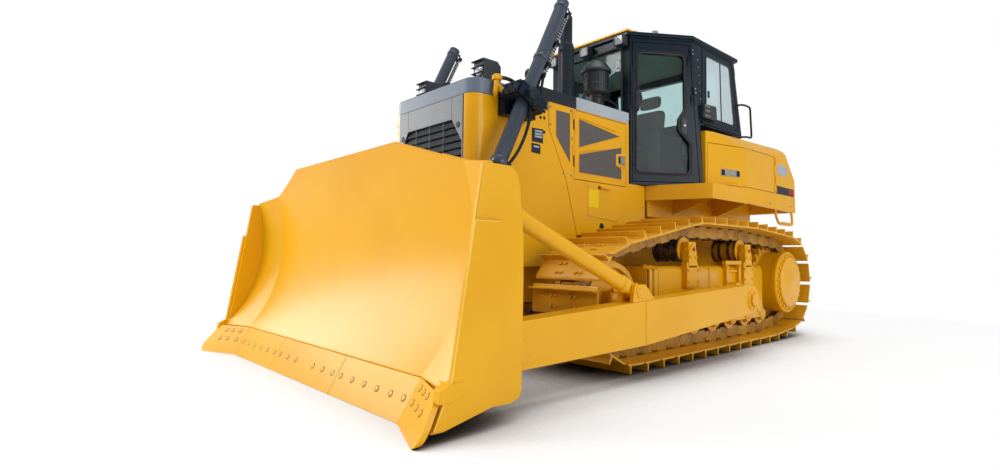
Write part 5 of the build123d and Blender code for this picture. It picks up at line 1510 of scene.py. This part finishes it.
for side in (-300, 300):
    arms.hose([(700, side, 2180), (860, side, 2196), (1080, side, 2200)], 34, 14)
    arms.hose([(720, side * 0.84, 2150), (740, side, 2170)], 18, 10)
arms.make(0, 60)

# %% Console and headliner
gear = Part("console_dress", plastic)
for side in (-400, 400):
    gear.turned((1110, side, 2189), (0, 0, 1), ((0, 46), (10, 44), (24, 34), (34, 26), (44, 22)),
        20)
    gear.turned((1110, side, 2300), (0, 0, 1), ((0, 20), (20, 25), (56, 30), (84, 30), (100, 22),
        (106, 8)), 20)
    for step in range(4):
        gear.box((700 + step * 90, side - 40, 2188), (745 + step * 90, side + 40, 2196))
gear.turned((1600, 0, 2300), (-0.7, 0, 0.6), ((0, 60), (10, 60), (16, 52)), 28)
gear.box((1560, -120, 2330), (1580, 120, 2470))
gear.turned((1500, 250, 1640), (0, 0.2, 1), ((0, 10), (150, 10)), 12)
gear.turned((1500, -250, 1640), (0, 0.2, 1), ((0, 10), (150, 10)), 12)
gear.make(2)
Part("console_screen", dark_stripe, slot="dark_plastic").box((1552, -108, 2342),
    (1560, 108, 2458)).make(2)
Part("cab_headliner", grey_cloth).prism([(1700, -400, 3040), (1700, 400, 3040), (1250, 760, 3040),
    (420, 760, 3040), (420, -760, 3040), (1250, -760, 3040)], Vector((0, 0, 0.014))).make(4)
mirror_part = Part("cab_mirror", plastic)
mirror_part.hose([(1690, 330, 3040), (1690, 330, 2960), (1680, 350, 2900)], 8, 10)
mirror_part.prism([(1676, 280, 2800), (1676, 410, 2800), (1676, 410, 2890), (1676, 280, 2890)],
    Vector((0.022, 0, 0)))
mirror_part.make(5)
rear_trim = Part("cab_rear_trim", plastic)
rear_trim.box((430, -640, 1640), (456, 640, 2390))
rear_trim.box((430, -640, 2390), (520, 640, 2412))
rear_trim.make(8)
floor_mat = Part("cab_floor_mat", rubber)
floor_mat.box((560, -480, 1630), (1240, 480, 1638))
floor_mat.box((1240, -430, 1630), (1530, 430, 1638))
floor_mat.make(2, 34, 1)
print("cab dressed")

# %% [markdown]
# ## Tanks, fenders and the rear
#
# The side doors close with a paddle latch.  Behind them sit a blank name plate in black with
# its red ends, a blank pale label, and below the tank a step loop.  Filler caps, hand rails,
# lamps and a bolted hatch finish the top and the rear face.

# %% The tank's angled skin
bend_way = Vector((-600, 146)).normalized()


def on_bend(side, place, height, out=0.0):
    """A place on the tank's angled skin, so many millimetres off it."""
    x = place + bend_way.y * out
    y = 944 + (1098 - place) * 146 / 600 - bend_way.x * out
    return ahead(x, side * y, height)


tank_half = 1090                 # the tank's straight side
for side in (1, -1):
    leaf = "tank_door"
    shove = on_bend(side, 800, 1700, 1) - on_bend(side, 800, 1700, 0)
    surround = Part("tank_latch_frame", bolt, side, leaf)
    surround.prism([on_bend(side, x, z, -1) for x, z in rounded_outline([(884, 1700), (884, 1774),
        (600, 1774), (600, 1700)], 12)], shove * 5)
    surround.prism([on_bend(side, x, z, 3) for x, z in rounded_outline([(824, 1714), (824, 1760),
        (660, 1760), (660, 1714)], 8)], shove * 6)
    surround.turned(on_bend(side, 742, 1737, 8), shove, ((0, 11), (4, 11), (6, 8)), 18)
    surround.make(1.5, 34, 1)
    ends = Part("tank_latch_grips", pipe_black, side, leaf)
    for near, far in ((876, 832), (652, 608)):
        ends.prism([on_bend(side, x, z, 3) for x, z in ((near, 1708), (near, 1766), (far, 1766),
            (far, 1708))], shove * 4)
    ends.make(1, 34, 1)
    strips = Part("tank_hinge_strips", pipe_black, side)
    for low, high in ((1835, 1989), (1648, 1740)):
        strips.plate(((-254, low), (-254, high), (-262, high), (-262, low)), -2, 4, tank_half)
    strips.make(1, 34, 1)
    Part("blank_name_plate", dark_stripe, side).plate(((-312, 1603), (-292, 1698), (-790, 1690),
        (-794, 1602)), -1, 3, tank_half).make(1, 34, 1)
    red = Part("name_plate_ends", red_paint, side)
    red.plate(((-300, 1603), (-276, 1650), (-288, 1698), (-262, 1698), (-248, 1650), (-272, 1603)),
        -1, 3, tank_half)
    for near, far in ((-640, -700), (-712, -772)):
        red.plate(((near, 1620), (near, 1680), (far, 1679), (far, 1619)), 2, 3.5, tank_half)
    red.make(0.5, 34, 1)
    Part("blank_rear_label", grey_stripe, side).plate(rounded_outline([(-316, 1835), (-316, 1950),
        (-590, 1944), (-590, 1828)], 12), -1, 2, tank_half).make(0.5, 34, 1)
    loop = Part("rear_step", yellow, side)
    loop.hose([(-262, 1076, 1440), (-262, 1090, 1340), (-300, 1104, 1262), (-340, 1106, 1248),
        (-660, 1106, 1248), (-700, 1104, 1262), (-742, 1090, 1340), (-742, 1076, 1440)], 14, 14)
    loop.box((-650, 1082, 1256), (-350, 1130, 1270))
    for x in (-610, -550, -490, -430, -390):
        loop.box((x - 3, 1082, 1268), (x + 3, 1130, 1276))
    loop.make(2, 40, 1)
    deck = Part("deck_steps", yellow, side)
    outline = [(900, 1060), (900, 1132), (700, 1132), (700, 1080)]
    deck.prism([ahead(x, side * y, 1568) for x, y in outline], Vector((0, 0, 0.012)))
    for x in (960, 1120, 1280):
        deck.prism([(x - 50, 1010, 1568), (x + 50, 970, 1568), (x + 50, 1100, 1568),
            (x - 50, 1100, 1568)], Vector((0, 0, 0.005)))
    deck.hose([(912, 1012, 1566), (908, 1014, 1608), (760, 1066, 1610), (640, 1100, 1608),
        (636, 1102, 1566)], 11, 12)
    deck.make(2, 40, 1)
    grips = Part("deck_studs", tread, side, slot="yellow_paint")
    for x in range(720, 1330, 40):
        for y in range(985, 1125, 36):
            if y > 1100 - (x - 520) * 0.18:
                grips.dome((x, y, 1572), (0, 0, 1), 7, 4, 8)
    grips.make()
    Part("tank_side_screws", bolt, side).bolts(((-700, 1480), (-100, 1480)), tank_half, 9,
        7).make()
print("tank sides and decks dressed")

# %% Tank top and rear face
caps = Part("tank_filler_caps", pipe_black, slot="dark_pipe")
for side, place in ((1, -180), (-1, -180), (-1, 380)):
    seat = ahead(place, side * 700, 2143)
    caps.turned(seat, (0, 0, 1), ((0, 82), (10, 82), (14, 60), (30, 60), (34, 68), (62, 68),
        (70, 60), (72, 20)), 32)
    for i in range(8):
        angle = 2 * pi * i / 8
        caps.bolt(seat + Vector((cos(angle) * 0.071, sin(angle) * 0.071, 0.008)), (0, 0, 1), 6, 5,
            False)
caps.make()
rails = Part("tank_hand_rails", yellow)
for side in (1, -1):
    rails.hose([(60, side * 780, 2140), (56, side * 780, 2225), (20, side * 780, 2240),
        (-360, side * 780, 2240), (-396, side * 780, 2225), (-400, side * 780, 2140)], 13, 14)
    rails.hose([(-560, side * 560, 2080), (-640, side * 560, 2110), (-860, side * 560, 1840),
        (-830, side * 560, 1760)], 13, 14)
rails.make(0, 40)
slope = Vector((-0.303, 0, -0.326)).normalized()
slope_out = Vector((-0.7325, 0, 0.6807))
hatch = Part("rear_hatch", yellow)
corner_a = ahead(-560, 0, 2084)
outline = [corner_a + slope * d + Vector((0, y, 0)) for d,
    y in ((0.02, -0.42), (0.02, 0.42), (0.37, 0.42), (0.37, -0.42))]
hatch.prism(outline, slope_out * 0.014)
hatch.make(5)
hatch_bolts = Part("rear_hatch_screws", bolt)
for d in (0.045, 0.195, 0.345):
    for y in (-0.39, -0.13, 0.13, 0.39):
        if d != 0.195 or abs(y) > 0.3:
            hatch_bolts.bolt(corner_a + slope * d + Vector((0, y, 0)) + slope_out * 0.014,
                slope_out, 10, 7)
for side in (1, -1):
    for y in (250, 560, 880):
        for height in (1470, 1730):
            hatch_bolts.bolt((-827 - (1797 - height) * 0.0567, side * y, height), (-1, 0, 0.05),
                11, 8)
hatch_bolts.make()
back_lamps = Part("rear_lamps", plastic, slot="lamp_body")
back_lenses = Part("rear_lamp_lenses", lens)
reds = Part("rear_reflectors", red_paint)
for side in (1, -1):
    back_lamps.box((-862, side * 930, 1690), (-826, side * 1050, 1780))
    back_lenses.box((-866, side * 938, 1698), (-860, side * 1042, 1772))
    reds.turned((-846, side * 990, 1600), (-1, 0, 0), ((0, 34), (5, 34), (8, 26)), 24)
back_lamps.make(5)
back_lenses.make(2, 34, 1)
reds.make()
seams = Part("rear_panel_seams", pipe_black)
for side in (1, -1):
    seams.hose([(-829, side * 620, 1790), (-849, side * 620, 1412)], 2.5, 6)
seams.make(0, 40)
pin = Part("drawbar_pin_dress", bolt, slot="dark_paint")
for z in (515, 606):
    pin.turned((-745, 0, z - 1), (0, 0, 1), ((0, 28), (0, 40), (3, 42), (6, 40), (6, 28)), 28)
pin.make()
plate_bolts = Part("rear_plate_bolts", bolt)
for y in (-320, 320):
    for height in (520, 690, 860, 1030, 1160):
        plate_bolts.bolt((-560, y, height), (-1, 0, 0), 16, 12)
for y in (-190, 190):
    for height in (480, 600):
        plate_bolts.bolt((-620, y, height), (-1, 0, 0), 14, 10)
plate_bolts.make()
lines = Part("rear_hydraulic_lines", rubber, slot="dark_pipe")
for k in range(3):
    lines.hose([(-560, 120 + 46 * k, 1090), (-640, 120 + 46 * k, 1110), (-660, 120 + 46 * k, 1200),
        (-600, 130 + 46 * k, 1330), (-560, 140 + 46 * k, 1406)], 14, 12)
lines.make(0, 40)
fittings = Part("rear_line_fittings", bolt, slot="dark_pipe")
for k in range(3):
    fittings.turned((-558, 120 + 46 * k, 1089), (-1, 0, 0.2),
        ((0, 20), (14, 20), (16, 17), (34, 17)), 6)
fittings.make()
print("rear dressed")

# %% Hood top
lids = Part("hood_top_panels", yellow)
for near, far in ((3120, 2700), (2680, 2420), (2180, 1900)):
    lids.prism([(near, -500, 2252), (near, 500, 2252), (far, 500, 2252), (far, -500, 2252)],
        Vector((0, 0, 0.006)))
lids.make(3)
studs = Part("hood_top_screws", bolt)
for near, far in ((3100, 2720), (2665, 2435), (2165, 1915)):
    for x in (near, far):
        for y in (-480, -160, 160, 480):
            studs.bolt((x, y, 2258), (0, 0, 1), 10, 7)
for y in (-500, -250, 0, 250, 500):
    studs.bolt((3370, y, 2191), (0, 0, 1), 10, 7)
    studs.bolt((3800, y * 0.9, 2191), (0, 0, 1), 10, 7)
studs.make()
# a screen closes the slot between the hood and the radiator guard's cap
screen_front, screen_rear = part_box("guard_cap")[0][0] + 0.015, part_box("hood")[1][0] - 0.015
Part("radiator_top_screen", mesh_panel).prism([Vector((screen_front, -0.5, 2.140)),
    Vector((screen_front, 0.5, 2.140)), Vector((screen_rear, 0.5, 2.140)),
    Vector((screen_rear, -0.5, 2.140))], Vector((0, 0, 0.008))).make(2, 34, 1)
latches = Part("hood_latches", pipe_black)
for y in (-300, 300):
    latches.box((3395, y - 40, 2190), (3470, y + 40, 2206))
    latches.turned((3432, y, 2204), (0, 0, 1), ((0, 18), (8, 18), (10, 12)), 18)
latches.make(2, 34, 1)

# %% Belly bolts
belly = Part("belly_screws", bolt)
for x in range(1040, 3560, 280):
    for y in (-330, 330):
        belly.bolt((x, y, 430), (0, 0, -1), 14, 8)
belly.make()
covers = Part("belly_covers", yellow)
for x in (1400, 2240, 3080):
    covers.turned((x, 0, 431), (0, 0, -1), ((0, 110), (6, 110), (10, 100)), 32)
covers.make()
print("top and belly dressed")

# %% [markdown]
# ## Undercarriage
#
# Every roller, carrier and idler shows its end cap and bolts.  The final drive's cover has a
# ring of bolts, the carriers run on worn treads, and the roller guard below the frame is
# notched between its bolts.

# %% Final drives and sprocket rings
arm_middle, brace_middle = 1560, 1487.5      # the push arm and the brace, outward
notch = 140                      # step of the roller guard's notches
for side in (1, -1):
    outward = Vector((0, side, 0))
    cover = Part("final_drive_cover", yellow, side)
    hub = ahead(0, side * 1337, drive_z)
    cover.turned(hub, outward, ((-24, 268), (-2, 268), (6, 258), (6, 60), (8, 54), (8, 10)), 64)
    cover.turned(hub, outward, ((-90, 325), (-60, 331), (-34, 331), (-26, 325)), 64)
    cover.make(0, 28)
    ring = Part("final_drive_bolts", yellow, side)
    ring.bolt_ring(hub, outward, 28, 0.294, -0.021, 15, 15, pi / 28)
    for i in range(3):
        angle = 2 * pi * i / 3 + 0.4
        ring.turned(hub + Vector((cos(angle) * 0.17, 0, sin(angle) * 0.17)), outward,
            ((-2, 18), (6, 18), (10, 14)), 6)
    ring.make()
    teeth_bolts = Part("sprocket_bolts", tracks, side)
    for i in range(25):
        angle = 2 * pi * (i + 0.5) / 25
        for face in (1, -1):
            seat = ahead(0, side * (gauge_half + face * 35),
                drive_z) + Vector((cos(angle) * 0.350, 0, sin(angle) * 0.350))
            teeth_bolts.bolt(seat, (0, side * face, 0), 13, 10)
    teeth_bolts.make()

    # carriers and their brackets
    worn = Part("carrier_treads", tread, side)
    bracket = Part("carrier_brackets", yellow, side)
    small = Part("carrier_bolts", yellow, side)
    marks = Part("carrier_plugs", red_paint, side)
    for place in carrier_places:
        axle_at = ahead(place, side * gauge_half, carrier_z)
        worn.turned(axle_at, (0, 1, 0), ((-119, 60), (-119, 114), (-104, 114), (-101, 97),
            (-60, 97), (-56, 109), (-34, 109), (-30, 96), (30, 96), (34, 109), (56, 109), (60, 97),
            (101, 97), (104, 114), (119, 114), (119, 60)), 40)
        bracket.turned((place, 1200, carrier_z), outward,
            ((-20, 40), (10, 44), (76, 44), (82, 38)), 32)
        bracket.turned((place, 1190, carrier_z), outward, ((-10, 54), (14, 54)), 32)
        bracket.slab(1206, 1276, ((place - 70, 760), (place + 70, 760), (place + 66, 900),
            (place + 40, 930), (place - 40, 930), (place - 66, 900)))
        bracket.slab(1206, 1276, ((place - 100, 600), (place + 100, 600), (place + 100, 780),
            (place - 100, 780)))
        for dx in (-84, 84):
            for z in (640, 740):
                small.bolt((place + dx, 1276, z), outward, 12, 11)
        for dx in (-50, 50):
            small.bolt((place + dx, 1276, 850), outward, 11, 10)
            small.turned((place + dx, 1240, 900), (0, 0, 1), ((0, 16), (34, 16), (38, 12)), 6)
        marks.turned((place, 1282, carrier_z), outward, ((-2, 19), (4, 19), (6, 14)), 20)
    worn.make(0, 40)
    bracket.make(5)
    small.make()
    marks.make()

    # the guide between the carriers
    guide = Part("chain_guide", yellow, side)
    for place in (1046, 1300):
        guide.slab(1222, 1262, ((place - 22, 560), (place + 22, 560), (place + 20, 792),
            (place - 20, 792)))
        guide.bolt((place, 1262, 766), outward, 10, 9)
        guide.bolt((place, 1262, 620), outward, 12, 10)
    guide.slab(1222, 1262, ((1010, 786), (1336, 786), (1336, 822), (1010, 822)))
    guide.hose([(1090, 1244, 720), (1170, 1262, 730), (1256, 1244, 720)], 12, 12)
    guide.make(4)

    # collars and seams on the frame's tube
    collar = Part("frame_collars", yellow, side)
    dark = Part("frame_seams", pipe_black, side)
    for place, wide, stand in ((2440, 60, 7), (2530, 46, 12), (1560, 40, 6)):
        half = 165 + stand
        section = [(-half, 500), (-half, 745), (-half + 58, 778 + stand), (half - 58, 778 + stand),
            (half, 745), (half, 500)]
        collar.prism([ahead(place, side * gauge_half + y, z) for y, z in section],
            Vector((wide / 1000, 0, 0)))
    for place in (2436, 2512, 2584):
        half = 170
        section = [(-half, 500), (-half, 746), (-half + 58, 783), (half - 58, 783), (half, 746),
            (half, 500)]
        dark.prism([ahead(place, side * gauge_half + y, z) for y, z in section],
            Vector((0.008, 0, 0)))
    collar.make(6)
    dark.make(1, 34, 1)

    # roller ends, guard notches and its bolts
    guard = Part("roller_guard", yellow, side)
    zigzag = [(520, 430), (520, 300)]
    for place in range(520, 2480, notch):
        zigzag += [(place + 70, 300), (place + 105, 372), (place + 140, 300)]
    zigzag += [(2560, 300), (2600, 430)]
    guard.slab(1228, 1240, zigzag)
    guard.make(2, 34, 1)
    ends = Part("roller_ends", tracks, side)
    for i in range(7):
        place = 470 + 2000 * i / 6
        seat = ahead(place, side * 1229, 272)
        ends.turned(seat, outward, ((-30, 62), (6, 62), (12, 54), (14, 30), (16, 28), (16, 8)), 28)
        ends.turned((place, gauge_half, 289), (0, 1, 0),
            ((-64, 101), (-60, 108), (-40, 108), (-36, 99), (36, 99), (40, 108), (60, 108),
            (64, 101)), 40)
    ends.make()
    between_notches = [(place, 402) for place in range(590, 2500, notch)]
    Part("roller_end_bolts", yellow, side).bolts(between_notches, 1240, 10, 9).make()

    # idler hub, its slide block and the recoil cover
    hub_part = Part("idler_hub", yellow, side)
    for face in (1, -1):
        seat = ahead(wheelbase, side * gauge_half + face * 165, idler_z)
        way = Vector((0, face, 0))
        hub_part.turned(seat, way, ((-6, 92), (4, 92), (10, 84), (12, 50), (16, 48), (16, 12)), 36)
        hub_part.bolt_ring(seat, way, 6, 0.072, 0.008, 9, 8, 0.3)
    hub_part.box((2600, 1232, 420), (2700, 1262, 600))
    hub_part.box((2870, 1232 - 12 * side, 590), (3060, 1262 - 12 * side, 616))
    hub_part.make(4)

    # the pivot of the push arm, and the bracket behind it
    pivot = Part("arm_pivot_cap", yellow, side, "blade")
    seat = ahead(1454, side * arm_middle, 480)
    pivot.turned(seat, outward, ((-12, 96), (4, 96), (10, 88), (10, 60)), 40)
    pivot.turned(seat, outward, ((2, 64), (26, 64), (32, 56)), 6)
    pivot.bolt_ring(seat, outward, 8, 0.078, 0.008, 9, 8)
    pivot.make(2, 34, 1)
    Part("arm_pivot_bracket", yellow, side).slab(1226, 1330,
        ((1130, 350), (1300, 330), (1310, 560), (1240, 620), (1130, 600))).make(6)
    cluster = Part("arm_pivot_bolts", yellow, side)
    cluster.bolts(((1160, 390), (1160, 480), (1160, 570), (1270, 380), (1270, 470), (1240, 570)),
        1330, 14, 13)
    cluster.hose([(1080, 1240, 520), (1080, 1290, 560), (1180, 1350, 600), (1240, 1345, 560)], 12,
        12)
    cluster.turned((1195, 1330, 440), outward, ((-4, 36), (16, 36), (22, 28)), 6)
    cluster.make()

    # push arm: weld bead, boss at its front end, and the lug's pin
    bead = Part("push_arm_welds", yellow, side, "blade")
    bead.hose([(3111, arm_middle + 0.5, 250), (3111, arm_middle + 0.5, 542)], 4, 8)
    bead.turned((4292, arm_middle, 330), outward, ((-4, 66), (8, 66), (14, 60), (16, 40),
        (16, 10)), 36)
    bead.bolt_ring(ahead(4292, side * arm_middle, 330), outward, 4, 0.05, 0.012, 7, 6, 0.5)
    for x, z in ((3165, 613), (4395, 1110)):
        for face in (1, -1):
            seat = ahead(x, side * brace_middle + face * 56, z)
            way = Vector((0, face, 0))
            bead.turned(seat, way, ((-4, 47), (10, 47), (14, 42), (16, 26), (18, 24), (18, 6)), 30)
            bead.bolt(seat + way * 0.016 + Vector((0.018, 0, 0.018)), way, 7, 6)
    bead.make()
    brace = Part("brace_collars", yellow, side, "blade")
    start, end = ahead(3165, side * brace_middle, 613), ahead(4395, side * brace_middle, 1110)
    way = (end - start).normalized()
    for d in (0.110, (end - start).length - 0.165):
        brace.turned(start + way * d, way, ((0, 50), (3, 57), (50, 57), (55, 50)), 32)
    brace.make()
print("undercarriage dressed")

# %% [markdown]
# ## The floor
#
# A wide plain sheet for the studio.  It is staging, not a piece of the machine.

# %% Floor
bm = bmesh.new()
bmesh.ops.create_grid(bm, x_segments=8, y_segments=8, size=60)
mesh = bpy.data.meshes.new("studio_floor")
bm.to_mesh(mesh)
bm.free()
mesh.materials.append(floor_finish.material)
floor = bpy.data.objects.new("studio_floor", mesh)
scene.collection.objects.link(floor)
